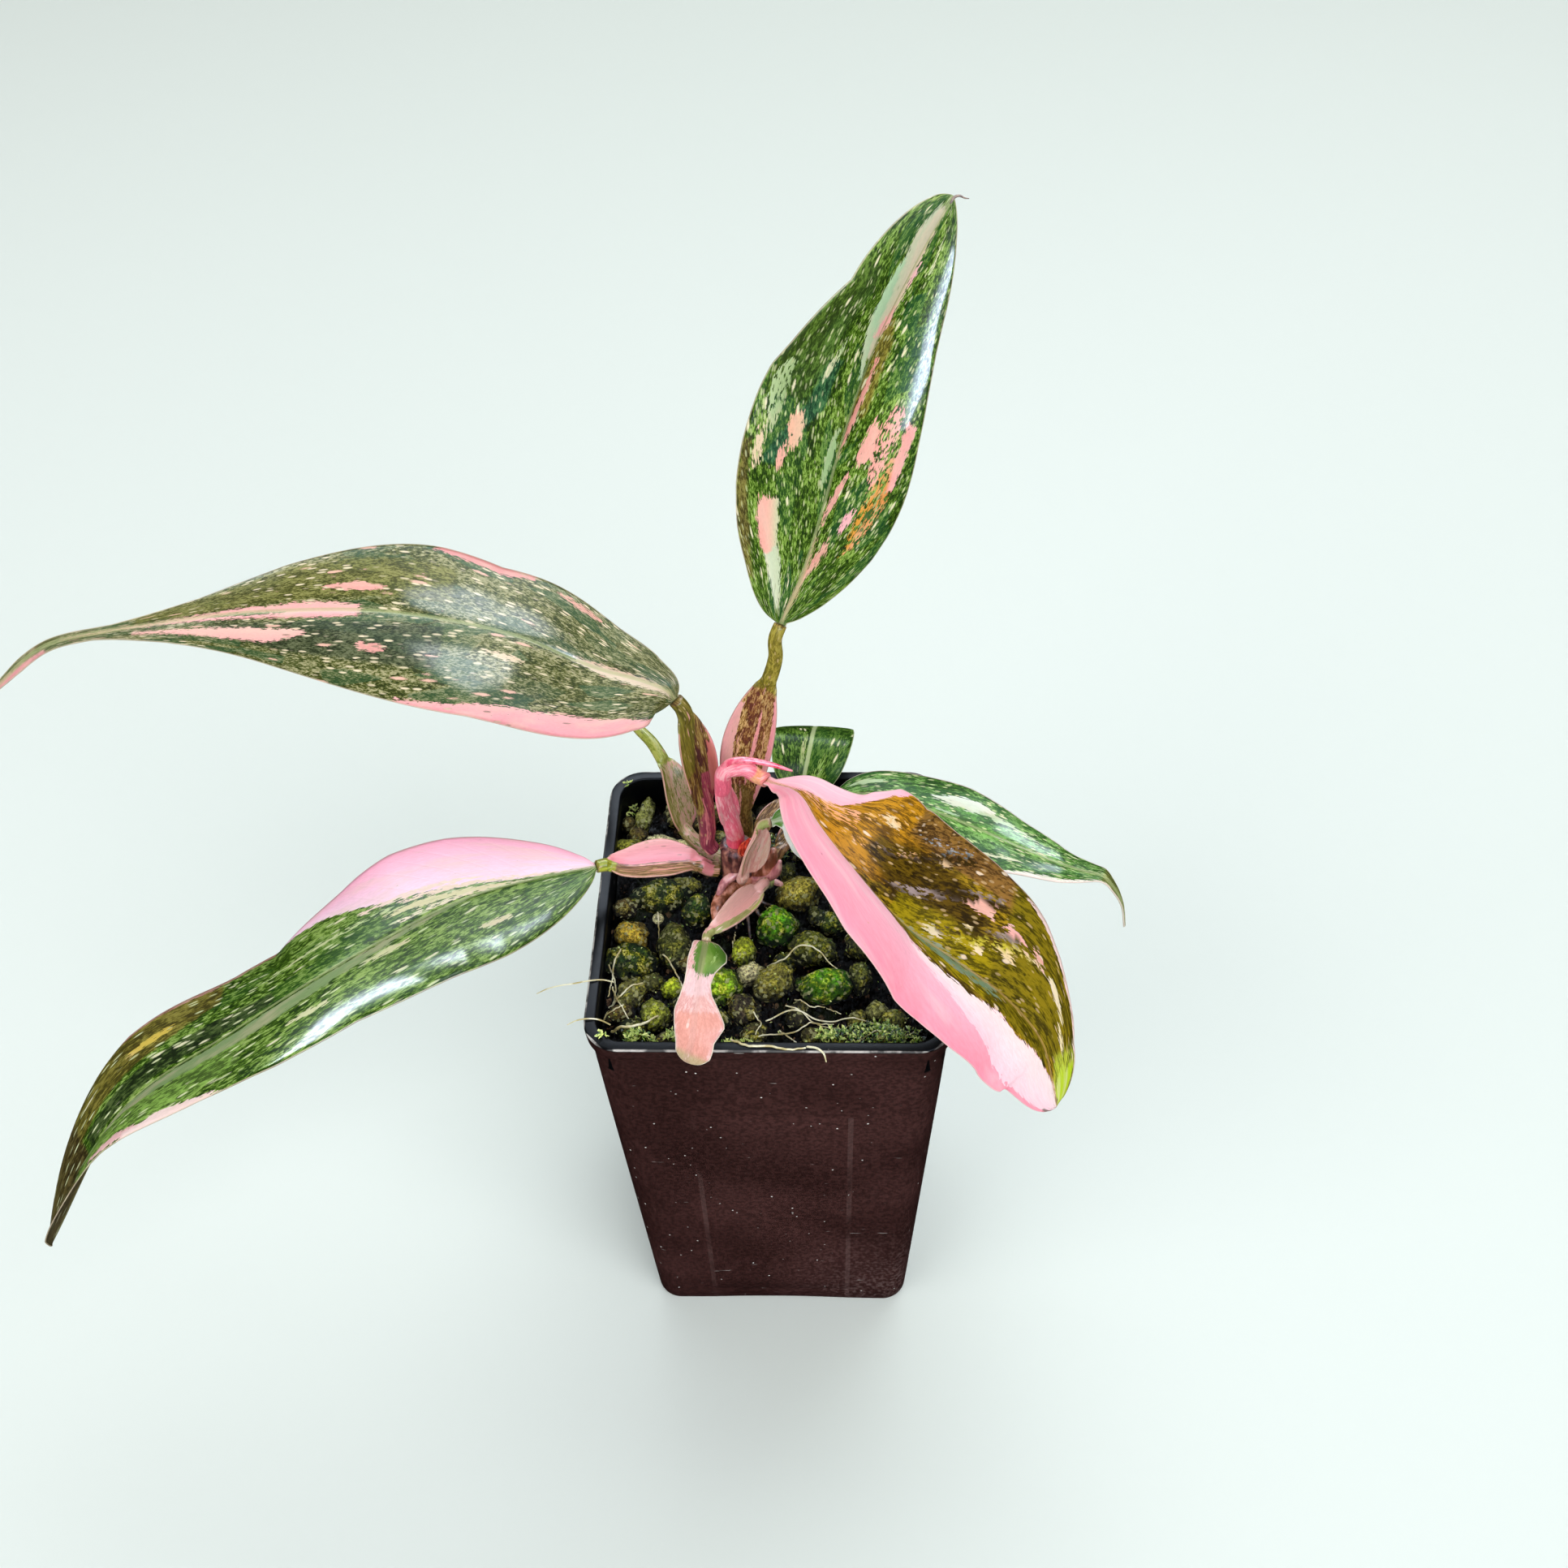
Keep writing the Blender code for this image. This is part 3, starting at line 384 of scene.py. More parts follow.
# Living leaf tissue under a thin waxy skin: flecked greens with pale sectors, and a soft gloss
# that breaks up along the cells. Every pattern runs along the veins, so its coordinates are the
# "streak" field: millimetres across the veins and along them.
def leafSurface(name, look):
    mat, add, shader = newMaterial(name)
    streak = add("field", attribute_name="streak", out="Vector")

    def grown(kind, across, length, shift=0.0, out="", **inputs):
        spot = add("mapping", streak, (shift, shift * 1.7, 0), Scale=(1 / across, 1 / length, 1))
        return add(kind, spot, 1.0, out=out, **inputs)

    fine, long = look["grain"]
    grain = grown("noise", fine, fine * long, Detail=3.0, Roughness=0.7)
    wide = grown("noise", fine * 9, fine * 9 * long, 31.0, Detail=3.0)
    cells = grown("cells", fine * 1.6, fine * 1.6 * long, out="Color")
    blocks = grown("cells", fine * 12, fine * 12 * long, 9.0, out="Color")
    blocks = add("split", blocks).node.outputs
    pick = 0.0
    for part, share in ((add("smooth", grain, 0.3, 0.7), 0.45), (add("split", cells), 0.3),
                        (add("smooth", wide, 0.3, 0.7), 0.17), (blocks[0], 0.08)):
        pick = add("timesPlus", part, share, pick)
    pick = add("smooth", pick, 0.2, 0.8)
    code, share = look["cool"]
    cool = add("times", add("smooth", blocks[1], 0.5, 0.9), share)
    base = add("blend", cool, add("ramp", pick, stops=look["greens"]), code)
    shade = add("multiply", 1.0, add("field", attribute_name="zoneTint", out="Color"),
                add("smooth", pick, 0.0, 1.0, 1 - look["mottle"], 1 + look["mottle"]))
    fray = grown("noise", fine * 0.9, fine * 6 * look["frayLong"], 3.0, Detail=2.0)
    rough = add("times", add("minus", fray, 0.5), look["fray"])
    zone = add("timesPlus", rough, 0.5, add("field", attribute_name="zone"))
    base = add("blend", add("smooth", zone, 0.2, 0.8, 0.0, 0.8), base, shade)

    # small pale flecks where single cell lines lost their green, then longer ragged dashes
    code, across, longer, share = look["fleck"]
    fleck = grown("cells", across, across * longer, 5.0)
    dice = add("split", fleck.node.outputs["Color"]).node.outputs
    shape = add("smooth", fleck, 0.42, 0.24)
    chosen = add("times", shape, add("above", dice[0], 1 - share))
    chosen = add("times", chosen, add("smooth", dice[2], 0.0, 1.0, 0.35, 1.0))
    light = add("blend", add("times", dice[1], 0.7), code, add("blend", 0.5, base, code))
    base = add("blend", chosen, base, light)
    code, across, longer, share = look["dash"]
    dash = grown("cells", across, across * longer, 17.0)
    luck = add("above", add("split", dash.node.outputs["Color"], out="Green"), 1 - share)
    ragged = add("smooth", add("timesPlus", grain, 0.5, dash), 0.62, 0.44)
    base = add("blend", add("times", add("times", ragged, luck), 0.85), base, code)

    # pale sectors with edges that fray along the veins, crossed by green threads
    rough = add("timesPlus", add("minus", grain, 0.5), 0.8, rough)
    specks = add("times", add("above", dice[1], 0.93), shape)
    whole = add("minus", 1.0, add("times", specks, look["speck"]))
    threads = grown("noise", fine * 1.3, fine * 5, 41.0, Detail=3.0)
    masks = []
    for key in "AB":
        patch = add("plus", add("field", attribute_name="patch" + key), rough)
        mask = add("times", add("smooth", patch, -0.10, 0.14), whole)
        tint = add("field", attribute_name="tint" + key, out="Color")
        cover = add("timesPlus", tint.node.outputs["Alpha"], 0.5, 0.26)
        mask = add("times", mask, add("smooth", add("minus", threads, cover), 0.05, -0.03))
        tint = add("multiply", 1.0, tint, add("smooth", grain, 0.3, 0.7, 0.93, 1.05))
        wash = add("times", add("smooth", wide, 0.45, 0.7), 0.35)
        base = add("blend", mask, base, add("blend", wash, tint, look["wash"]))
        masks.append(mask)

    code, reach, share = look["rib"]
    rib = add("minus", add("field", attribute_name="rib"), add("times", grain, 0.3))
    base = add("blend", add("times", add("smooth", rib, reach, reach * 0.4), share), base, code)
    code, reach, share = look["edge"]
    edge = add("smooth", add("field", attribute_name="margin"), reach, reach * 0.5)
    base = add("blend", add("times", edge, share), base, code)
    under = add("field", attribute_name="under")
    base = add("blend", under, base, add("blend", 0.5, base, look["under"]))

    dull = look["roughness"]
    for part, share in ((grain, 0.16), (add("most", *masks), 0.05), (under, 0.2)):
        dull = add("timesPlus", part, share, dull)
    vein = add("zigzag", add("field", attribute_name="vein"), 0.5)
    height = add("times", add("smooth", vein, 0.0, 0.11), 0.18)
    height = add("timesPlus", grain, look["relief"], height)
    coat = look["coat"]
    if look["gloss"]:
        sheen = add("smooth", grain, 0.36, 0.54, 0.45, 1.0)
        sheen = add("times", add("field", attribute_name="shine"), sheen)
        coat = add("timesPlus", sheen, look["gloss"], coat)
    feed(shader, {"Base Color": base, "Roughness": dull,
                  "Normal": add("bump", Height=height, Strength=0.5, Distance=0.00022),
                  "Coat Weight": coat, "Coat Roughness": look["coatRoughness"],
                  "Specular IOR Level": look["specular"]})
    return mat


# Look shared by the blades; each leaf changes what differs. greens: from shade to light. cool:
# tint, share. grain: width, length as a multiple. fleck and dash: colour, width, length as a
# multiple, share of cells. rib and edge: colour, reach, share. Sizes are millimetres.
bladeLook = dict(
    greens=[(0.1, "#1c3004"), (0.42, "#38560c"), (0.7, "#507418"), (0.97, "#90b050")],
    cool=("#1e5a34", 0.4), grain=(0.28, 3.4), mottle=0.6, fleck=("#f0f4b8", 0.58, 3.8, 0.46),
    dash=("#f2eac4", 1.0, 4.6, 0.1), fray=2.4, frayLong=1.0, speck=0.6, wash="#e8c8b4",
    rib=("#a8b27c", 0.5, 0.5), edge=("#d8c8b0", 0.28, 0.6), under="#8fa07a",
    roughness=0.26, relief=0.5, coat=0.02, gloss=1.0, coatRoughness=0.1, specular=0.08)
stalkLook = dict(
    greens=[(0.1, "#4a3418"), (0.4, "#6d5426"), (0.65, "#8a6a34"), (0.9, "#c09a68")],
    cool=("#7a3c3c", 0.3), grain=(0.32, 7.0), mottle=0.35, fleck=("#c9b078", 0.5, 4.0, 0.25),
    dash=("#e0a49a", 0.6, 9.0, 0.06), fray=0.9, frayLong=2.0, speck=0.5, wash="#f0b8b0",
    rib=("#a8b27c", 0.3, 0.0), edge=("#e8a8a4", 0.22, 0.7), under="#8a8050",
    roughness=0.30, relief=0.4, coat=0.05, gloss=0.0, coatRoughness=0.15, specular=0.16)

# Each leaf: its shape in the imported model, its look where it differs, soft colour zones and
# sectors. Zones and sectors are (colours across, rows of (t, low, high)), where t runs from base
# to tip and the position across from -1 at the left margin to 1 at the right one.
leaves = {
    "upright": dict(
        mid=[(3.7, 16, 233), (9, 22, 244), (12.5, 27, 254), (18.5, 37, 272), (24.5, 46, 286),
             (33, 55, 300), (40, 62, 310)],
        up=[(0, -0.8, 0.6)],
        left=dict(w=23.6, fold=(20, 27, 35, 60, 38), curl=(-18,), shape=(0.55, 0.5, 1.0, 0.6),
                  trim=(1, 1, 1.01, 1.01, 0.98, 0.94, 0.92, 0.94, 0.96, 0.96, 1)),
        right=dict(w=18.8, fold=(18, 34, 52, 46, 26), curl=(-50, -74, -78, -74, -42),
                   shape=(0.41, 0.75, 1.65, 0.78),
                   trim=(1, 0.96, 1, 0.97, 0.95, 0.95, 0.94, 0.95, 0.98, 1, 1)),
        drip=0.03, wave=(0.5, 3.0),
        shine=[[(0.3, 0.82, 0.94), (0.4, 0.8, 0.95), (0.6, 0.78, 0.95), (0.8, 0.78, 0.98),
                (0.9, 0.84, 1.04)]],
        zones=[
            ("#4c6420 #486428", [(0.5, -0.95, -0.55), (0.6, -1, -0.5), (0.8, -1, -0.6)]),
            ("#28583c", [(0.36, -0.8, -0.66), (0.5, -0.5, -0.3), (0.6, -0.5, -0.35)]),
            ("#7a6a2c", [(0.5, 0.0, 0.25), (0.66, 0.04, 0.3), (0.72, 0.1, 0.2)]),
            ("#6c5c30", [(0.08, -1, -0.9), (0.2, -1, -0.84), (0.4, -1, -0.92)]),
        ],
        sectors=[
            ("#d4dcc0 #c4d0ac", [(0.03, -0.38, -0.28), (0.06, -0.46, -0.3), (0.1, -0.58, -0.36),
                                 (0.15, -0.66, -0.42), (0.19, -0.68, -0.48)]),
            ("#f0a79c #f2b7a6 #cdd2a8", [(0.13, -0.62, -0.48), (0.18, -0.72, -0.47),
                                         (0.24, -0.75, -0.5), (0.285, -0.74, -0.53)]),
            ("#efb498 #e9c3a2", [(0.40, -0.56, -0.47), (0.44, -0.6, -0.44),
                                 (0.475, -0.62, -0.5)], 0.8),
            ("#efb09e", [(0.35, -0.62, -0.57), (0.38, -0.64, -0.55), (0.4, -0.63, -0.58)]),
            ("#b4c894 #9cb47c", [(0.43, -0.79, -0.74), (0.48, -0.88, -0.72),
                                 (0.53, -0.93, -0.76), (0.57, -0.9, -0.8)], 0.6),
            ("#e4cea8", [(0.34, -0.86, -0.82), (0.38, -0.88, -0.78), (0.43, -0.9, -0.82)], 0.6),
            ("#bcd8b0 #a8c8a4", [(0.58, -0.06, -0.03), (0.64, -0.18, -0.05),
                                 (0.70, -0.3, -0.12), (0.76, -0.37, -0.17),
                                 (0.81, -0.37, -0.22), (0.84, -0.32, -0.24)]),
            ("#c4ccac #dcc8b4", [(0.62, -0.08, 0.02), (0.70, -0.16, 0.06), (0.76, -0.22, 0.12),
                                 (0.83, -0.3, 0.12), (0.9, -0.44, 0.08), (0.97, -0.4, 0.06)]),
            ("#e3948a #e8a69c", [(0.40, 0.0, 0.02), (0.45, 0.02, 0.08), (0.50, 0.05, 0.13),
                                 (0.56, 0.09, 0.16), (0.63, 0.14, 0.18)]),
            ("#e6a79c", [(0.25, 0.04, 0.07), (0.3, 0.07, 0.15), (0.34, 0.13, 0.2),
                         (0.375, 0.19, 0.23)]),
            ("#f2b0b8", [(0.245, 0.32, 0.35), (0.26, 0.31, 0.4), (0.285, 0.33, 0.42),
                         (0.305, 0.38, 0.43)]),
            ("#e39c92 #d9a890", [(0.11, 0.04, 0.08), (0.15, 0.08, 0.19), (0.19, 0.14, 0.26),
                                 (0.22, 0.2, 0.25)]),
            ("#d3a090 #b9a878", [(0.01, -0.05, 0.12), (0.08, -0.03, 0.11), (0.14, 0, 0.08),
                                 (0.22, 0.02, 0.05)]),
            ("#eda79c #f0b4a4", [(0.40, 0.28, 0.36), (0.43, 0.29, 0.47), (0.47, 0.33, 0.46),
                                 (0.51, 0.38, 0.43)]),
            ("#f0a698 #eeb0a4", [(0.36, 0.5, 0.58), (0.4, 0.46, 0.64), (0.46, 0.44, 0.68),
                                 (0.5, 0.5, 0.72), (0.55, 0.6, 0.72)], 0.5),
            ("#d99a30 #dd8f50", [(0.2, 0.48, 0.54), (0.26, 0.46, 0.66), (0.33, 0.5, 0.76),
                                 (0.39, 0.56, 0.76), (0.44, 0.6, 0.72)], 0.45),
            ("#ee9f96 #f2b0aa", [(0.33, 0.66, 0.7), (0.38, 0.68, 0.8), (0.44, 0.74, 0.86),
                                 (0.52, 0.8, 0.92)]),
        ],
        over=[
            ("#edb3b0", [(0.67, -0.1, 0.0), (0.695, -0.09, 0.09), (0.72, -0.05, 0.1),
                         (0.74, 0.02, 0.08)]),
            ("#eebcc0", [(0.80, 0.08, 0.12), (0.825, 0.08, 0.17), (0.85, 0.12, 0.17)]),
            ("#9fbb86", [(0.33, -0.12, -0.08), (0.4, -0.14, -0.05), (0.46, -0.12, -0.07)]),
            ("#3a5a20", [(0.27, 0.56, 0.6), (0.3, 0.56, 0.62), (0.32, 0.6, 0.63)]),
            ("#c9d4a4", [(0.83, 0.42, 0.46), (0.87, 0.42, 0.5), (0.9, 0.46, 0.5)]),
            ("#bfcf9c", [(0.55, -0.45, -0.42), (0.6, -0.47, -0.42), (0.64, -0.46, -0.43)]),
        ]),
    "upper_left": dict(
        mid=[(-21, 11, 214), (-22.8, 11.2, 216.8), (-27, 11.5, 219), (-37, 12, 222.5),
             (-55, 13, 232), (-79, 14, 238), (-111, 16, 237), (-140, 17, 232), (-151, 17, 230),
             (-165, 17, 226), (-180, 15, 215), (-190, 16, 205)],
        up=[(0, -0.6, 0.8), (0, -0.7, 0.7), (-0.2, -0.6, 0.8)],
        left=dict(w=22.4, fold=(25, 37, 27, 33, 18), curl=(-25,), shape=(0.27, 0.45, 1.9, 4.3)),
        right=dict(w=18.8, fold=(3, -27, -5, -23, 2), curl=(-15,), shape=(0.32, 0.64, 1.6, 4.5)),
        drip=0.07, wave=(0.6, 3.0),
        shine=[[(0.14, 0.04, 0.22), (0.2, 0.04, 0.4), (0.28, 0.05, 0.5), (0.36, 0.06, 0.3)],
               [(0.16, -0.6, -0.4), (0.22, -0.78, -0.3), (0.28, -0.7, -0.3),
                (0.34, -0.5, -0.36)], [(0.5, 0.5, 0.9), (0.58, 0.4, 0.9), (0.66, 0.5, 0.9)]],
        look=dict(greens=[(0.08, "#2c3412"), (0.34, "#4c5424"), (0.62, "#6c6e3c"),
                          (0.9, "#a4a078")], cool=("#305838", 0.5),
                  coatRoughness=0.2, fleck=("#e8d8b8", 0.7, 4.4, 0.34),
                  dash=("#f0beac", 1.2, 5.2, 0.14)),
        zones=[
            ("#3c4630", [(0.3, -0.6, -0.1), (0.5, -0.7, -0.2), (0.6, -0.6, -0.3)]),
            ("#6a6a34", [(0.3, 0.2, 0.7), (0.5, 0.2, 0.9), (0.7, 0.2, 0.8)]),
        ],
        sectors=[
            ("#e8a0a0 #f4b8b4 #ecacaa", [(0.405, -0.08, 0.08), (0.45, -0.12, 0.14),
                                         (0.55, -0.14, 0.14), (0.65, -0.12, 0.12),
                                         (0.76, -0.06, 0.06), (0.8, -0.03, 0.03)]),
            ("#ecaca8 #f2c0b4", [(0.47, -0.4, -0.32), (0.52, -0.6, -0.34),
                                 (0.58, -0.64, -0.36), (0.64, -0.6, -0.4),
                                 (0.7, -0.56, -0.44)]),
            ("#dca294", [(0.62, -0.53, -0.48), (0.65, -0.56, -0.48), (0.69, -0.54, -0.49)]),
            ("#e7a59c", [(0.38, 0.3, 0.36), (0.41, 0.3, 0.43), (0.45, 0.36, 0.42)]),
            ("#e58d98 #f0b0b0", [(0.02, -1.05, -0.86), (0.06, -1.05, -0.74),
                                 (0.12, -1.05, -0.72), (0.2, -1.05, -0.8),
                                 (0.27, -1.05, -0.9), (0.34, -1.05, -0.96)]),
            ("#d98f8c", [(0.21, 0.92, 1.02), (0.24, 0.86, 1.02), (0.29, 0.88, 1.02),
                         (0.33, 0.94, 1.02)]),
            ("#d9a494", [(0.12, 0.83, 0.88), (0.15, 0.8, 0.9), (0.18, 0.84, 0.9)]),
            ("#d8c9b0 #cfae94", [(0.01, -0.14, 0.04), (0.06, -0.14, 0.09), (0.1, -0.08, 0.1),
                                 (0.14, -0.02, 0.06)]),
            ("#dc9c94", [(0.365, -0.49, -0.43), (0.38, -0.52, -0.41), (0.4, -0.5, -0.43)]),
            ("#d88c94 #e0a0a0", [(0.83, -0.9, -0.5), (0.88, -1.05, -0.1), (1, -1.05, 1.05)]),
        ],
        over=[
            ("#dcc8a8", [(0.2, -0.3, -0.26), (0.22, -0.33, -0.25), (0.245, -0.31, -0.27)]),
            ("#4c5a30", [(0.5, -0.06, -0.02), (0.54, -0.08, 0.0), (0.6, -0.05, -0.02)]),
        ]),
    "lower_left": dict(
        mid=[(-44, 2.4, 163), (-55, -3, 166), (-71, -12, 170), (-93, -28, 171), (-124, -44, 160),
             (-155, -56, 141), (-173, -78, 118)],
        up=[(0, -0.2, 1), (0, -0.3, 1), (-0.4, -0.2, 0.8)],
        left=dict(w=21.6, fold=(14, 21, 43, 50, 63), curl=(-20,), shape=(0.24, 0.67, 2.85, 0.5),
                  trim=(1, 0.97, 0.96, 0.95, 0.92, 1.07, 1.03, 1.08, 1.14, 1, 1)),
        right=dict(w=25.0, fold=(-2, -8, -33, -9, -6), curl=(-15,), shape=(0.32, 0.67, 2.25, 0.5)),
        drip=0.03, wave=(0.8, 4.0),
        shine=[[(0.1, -0.96, -0.78), (0.2, -0.95, -0.72), (0.35, -0.92, -0.68),
                (0.48, -0.96, -0.74), (0.62, -1.0, -0.84)]],
        look=dict(greens=[(0.08, "#1c3404"), (0.34, "#38540e"), (0.62, "#567a20"),
                          (0.92, "#90ac58")], cool=("#2c5c20", 0.3), grain=(0.4, 4.4),
                  fleck=("#d8e0b0", 0.8, 5.4, 0.26), dash=("#e8e4c0", 1.3, 5.4, 0.07),
                  speck=0.12, coatRoughness=0.14, under="#5a4c30"),
        zones=[
            ("#26301c", [(0.5, 0.04, 0.2), (0.62, 0.06, 0.34), (0.85, 0.08, 0.34)]),
            ("#6f9040", [(0.55, -0.7, -0.25), (0.65, -0.95, -0.28), (0.86, -0.8, -0.3)]),
            ("#6a5a24", [(0.6, 0.6, 0.9), (0.7, 0.45, 1.05), (0.9, 0.4, 1.05)]),
            ("#4a3020", [(0.86, -1.05, 1.05), (1, -1.05, 1.05)]),
        ],
        sectors=[
            ("#ffdcf0 #ffc8e0 #f8a4c0", [(0.0, 0.03, 1.06), (0.1, 0.04, 1.06),
                                         (0.2, 0.17, 1.06), (0.3, 0.42, 1.06),
                                         (0.4, 0.78, 1.06), (0.5, 1.0, 1.06)]),
            ("#7c9660 #8aa070", [(0.2, -0.04, 0.0), (0.3, -0.1, -0.03), (0.4, -0.22, -0.05),
                                 (0.5, -0.32, -0.06), (0.6, -0.36, -0.1),
                                 (0.72, -0.4, -0.1), (0.82, -0.36, -0.14)], 0.9),
            ("#ead0cc", [(0.58, -1.05, -0.96), (0.66, -1.05, -0.86), (0.73, -1.05, -0.94)]),
            ("#e2b4b4", [(0.7, -0.95, -0.88), (0.75, -0.97, -0.84), (0.82, -0.96, -0.9)]),
            ("#b07a70", [(0.5, 0.93, 1.05), (0.62, 0.93, 1.05), (0.76, 0.96, 1.05)]),
        ],
        over=[
            ("#d6cfa0", [(0.14, 0.02, 0.05), (0.2, 0.06, 0.13), (0.26, 0.14, 0.23),
                         (0.31, 0.23, 0.26)]),
            ("#b9c990", [(0.28, 0.28, 0.31), (0.4, 0.37, 0.42), (0.52, 0.48, 0.5)]),
            ("#eed4c0", [(0.06, 0.03, 0.06), (0.14, 0.1, 0.15), (0.22, 0.19, 0.25),
                         (0.28, 0.3, 0.33)], 0.8),
            ("#f2d8cc", [(0.16, 0.22, 0.24), (0.24, 0.3, 0.36), (0.34, 0.44, 0.48)], 0.8),
            ("#e8dcc0", [(0.1, 0.0, 0.03), (0.18, 0.02, 0.06), (0.3, 0.08, 0.12)], 0.7),
            ("#cfd0a0", [(0.30, -0.25, -0.2), (0.33, -0.27, -0.18), (0.36, -0.25, -0.2)]),
            ("#d3cfa4", [(0.15, -0.54, -0.5), (0.18, -0.56, -0.48), (0.21, -0.54, -0.5)]),
            ("#cdd0a2", [(0.42, -0.53, -0.49), (0.45, -0.56, -0.47), (0.48, -0.53, -0.5)]),
            ("#c9b04c", [(0.68, 0.6, 0.65), (0.71, 0.58, 0.7), (0.75, 0.62, 0.68)]),
        ]),
    "front_right": dict(
        mid=[(0, -0.5, 199), (8, -7, 201), (12, -14, 199.5), (22, -23, 190), (32, -26, 177),
             (45, -28, 165), (57, -30, 153), (66, -35, 142), (70, -46, 130)],
        up=[(0.2, -0.3, 1), (0.5, -0.1, 0.9), (0.7, 0, 0.7), (0.8, 0, 0.5)],
        left=dict(w=28.0, fold=(14, 32, 37, 37, 22), curl=(-10, -25, -30, -25, -10),
                  shape=(0.42, 0.95, 2.5, 0.6),
                  trim=(0.5, 0.7, 1.1, 0.96, 0.98, 1.03, 1.04, 1.03, 0.95, 0.75, 1)),
        right=dict(w=22.5, fold=(51, 56, 33, 13, -4), curl=(-40, -70, -70, -60, -30),
                   shape=(0.62, 0.84, 3.2, 0.5),
                   trim=(1, 1.2, 1.2, 1.26, 1.17, 1.06, 1.06, 1.04, 1.05, 1.05, 1)),
        drip=0.03, wave=(0.4, 3.0),
        look=dict(greens=[(0.1, "#342602"), (0.35, "#584404"), (0.6, "#7c6604"),
                          (0.9, "#b08c1c")], cool=("#584420", 0.4), wash="#ffe4e4", speck=0.05,
                  grain=(0.42, 6.0), fleck=("#ecc894", 0.8, 3.4, 0.2), fray=3.4,
                  dash=("#f6dcc0", 1.3, 3.0, 0.09), edge=("#f0c8c8", 0.3, 0.7),
                  rib=("#c9a060", 0.5, 0.4), roughness=0.34, coat=0.0, specular=0.03),
        zones=[
            ("#a87414", [(0.08, -0.9, 0.1), (0.2, -1, 0.1), (0.3, -1, -0.05),
                         (0.4, -0.9, -0.3)]),
            ("#3c2a02", [(0.25, -0.44, -0.24), (0.36, -0.62, -0.12), (0.48, -0.62, -0.18),
                         (0.6, -0.58, -0.3)]),
            ("#74502a", [(0.3, -1.0, -0.66), (0.45, -1.0, -0.66), (0.66, -1.0, -0.72)]),
            ("#887806", [(0.38, -0.2, 0.1), (0.5, -0.26, 0.3), (0.66, -0.3, 0.3)]),
            ("#685c08", [(0.66, -1, 0.3), (0.9, -1, 0.3)]),
            ("#9aa634", [(0.9, -1.05, -0.2), (1, -1.05, 0.1)]),
        ],
        sectors=[
            ("#ffc8d8 #ffb4c4", [(0, -1.1, 0.0), (0.05, -1.1, -0.02), (0.1, -1.1, -0.28),
                                 (0.15, -1.1, -0.5), (0.2, -1.1, -0.84), (0.24, -1.1, -0.98)]),
            ("#ffc2d2 #ffb2c6 #ffa0b4 #fc8ca4", [
                (0, -0.04, 1.1), (0.1, 0.0, 1.1), (0.2, 0.04, 1.1), (0.3, 0.1, 1.1),
                (0.4, 0.25, 1.1), (0.5, 0.36, 1.1), (0.6, 0.38, 1.1), (0.7, 0.32, 1.1),
                (0.8, 0.35, 1.1), (0.9, 0.2, 1.1), (0.95, 0, 1.1), (1, -0.2, 1.1)]),
        ],
        over=[
            ("#fce6e6 #ffdee6 #ffcedc", [
                (0.42, 0.3, 0.34), (0.5, 0.36, 0.48), (0.6, 0.38, 0.64), (0.7, 0.33, 0.76),
                (0.8, 0.36, 0.86), (0.9, 0.22, 0.92), (0.95, 0.02, 0.9), (1, -0.1, 0.8)]),
            ("#362604", [(0.24, -0.3, -0.24), (0.34, -0.5, -0.42), (0.44, -0.72, -0.62),
                         (0.54, -0.9, -0.8)], 0.5),
            ("#362604", [(0.32, -0.14, -0.08), (0.42, -0.34, -0.24), (0.54, -0.58, -0.46),
                         (0.64, -0.76, -0.66)], 0.5),
            ("#4a3a08", [(0.5, -0.16, -0.1), (0.6, -0.36, -0.26), (0.7, -0.56, -0.46)], 0.4),
            ("#e4b46c", [(0.12, -0.3, -0.25), (0.2, -0.52, -0.45), (0.28, -0.74, -0.66)], 0.4),
            ("#d8a050", [(0.2, -0.18, -0.12), (0.3, -0.42, -0.36), (0.38, -0.6, -0.54)], 0.35),
            ("#c8b838", [(0.56, -0.2, -0.13), (0.66, -0.4, -0.32), (0.76, -0.56, -0.5)], 0.4),
            # painted sheen: a grey-blue streak near the margin
            ("#8c98a0", [(0.34, -0.72, -0.68), (0.44, -0.84, -0.76), (0.54, -0.92, -0.86)], 0.3),
            ("#f2b08c #e0a060", [(0.09, -0.26, -0.1), (0.13, -0.44, -0.16),
                                 (0.17, -0.5, -0.2), (0.2, -0.5, -0.3)], 0.4),
            ("#e8d0a8", [(0.23, -0.62, -0.56), (0.25, -0.66, -0.56), (0.275, -0.64, -0.58)]),
            ("#dcb890", [(0.43, -0.67, -0.63), (0.45, -0.7, -0.61), (0.475, -0.67, -0.63)]),
            ("#eab0a0", [(0.55, -0.52, -0.46), (0.58, -0.62, -0.47), (0.62, -0.6, -0.5)]),
            ("#eaa8a0", [(0.66, -0.57, -0.53), (0.68, -0.6, -0.5), (0.71, -0.57, -0.53)]),
            ("#e4a698", [(0.735, -0.62, -0.58), (0.75, -0.64, -0.56), (0.77, -0.62, -0.58)]),
            ("#e6d6ac", [(0.79, -0.63, -0.58), (0.82, -0.66, -0.55), (0.86, -0.62, -0.58)]),
            ("#e0cfa0", [(0.48, -0.13, -0.08), (0.5, -0.14, -0.07), (0.52, -0.12, -0.08)]),
            ("#7c8c68 #6a8468", [(0.4, 0.0, 0.06), (0.5, -0.04, 0.16), (0.6, -0.02, 0.2),
                                 (0.7, 0.0, 0.16)], 0.6),
            ("#9c6c4c", [(0.54, 0.4, 0.43), (0.6, 0.42, 0.46), (0.68, 0.4, 0.44),
                         (0.76, 0.42, 0.45)]),
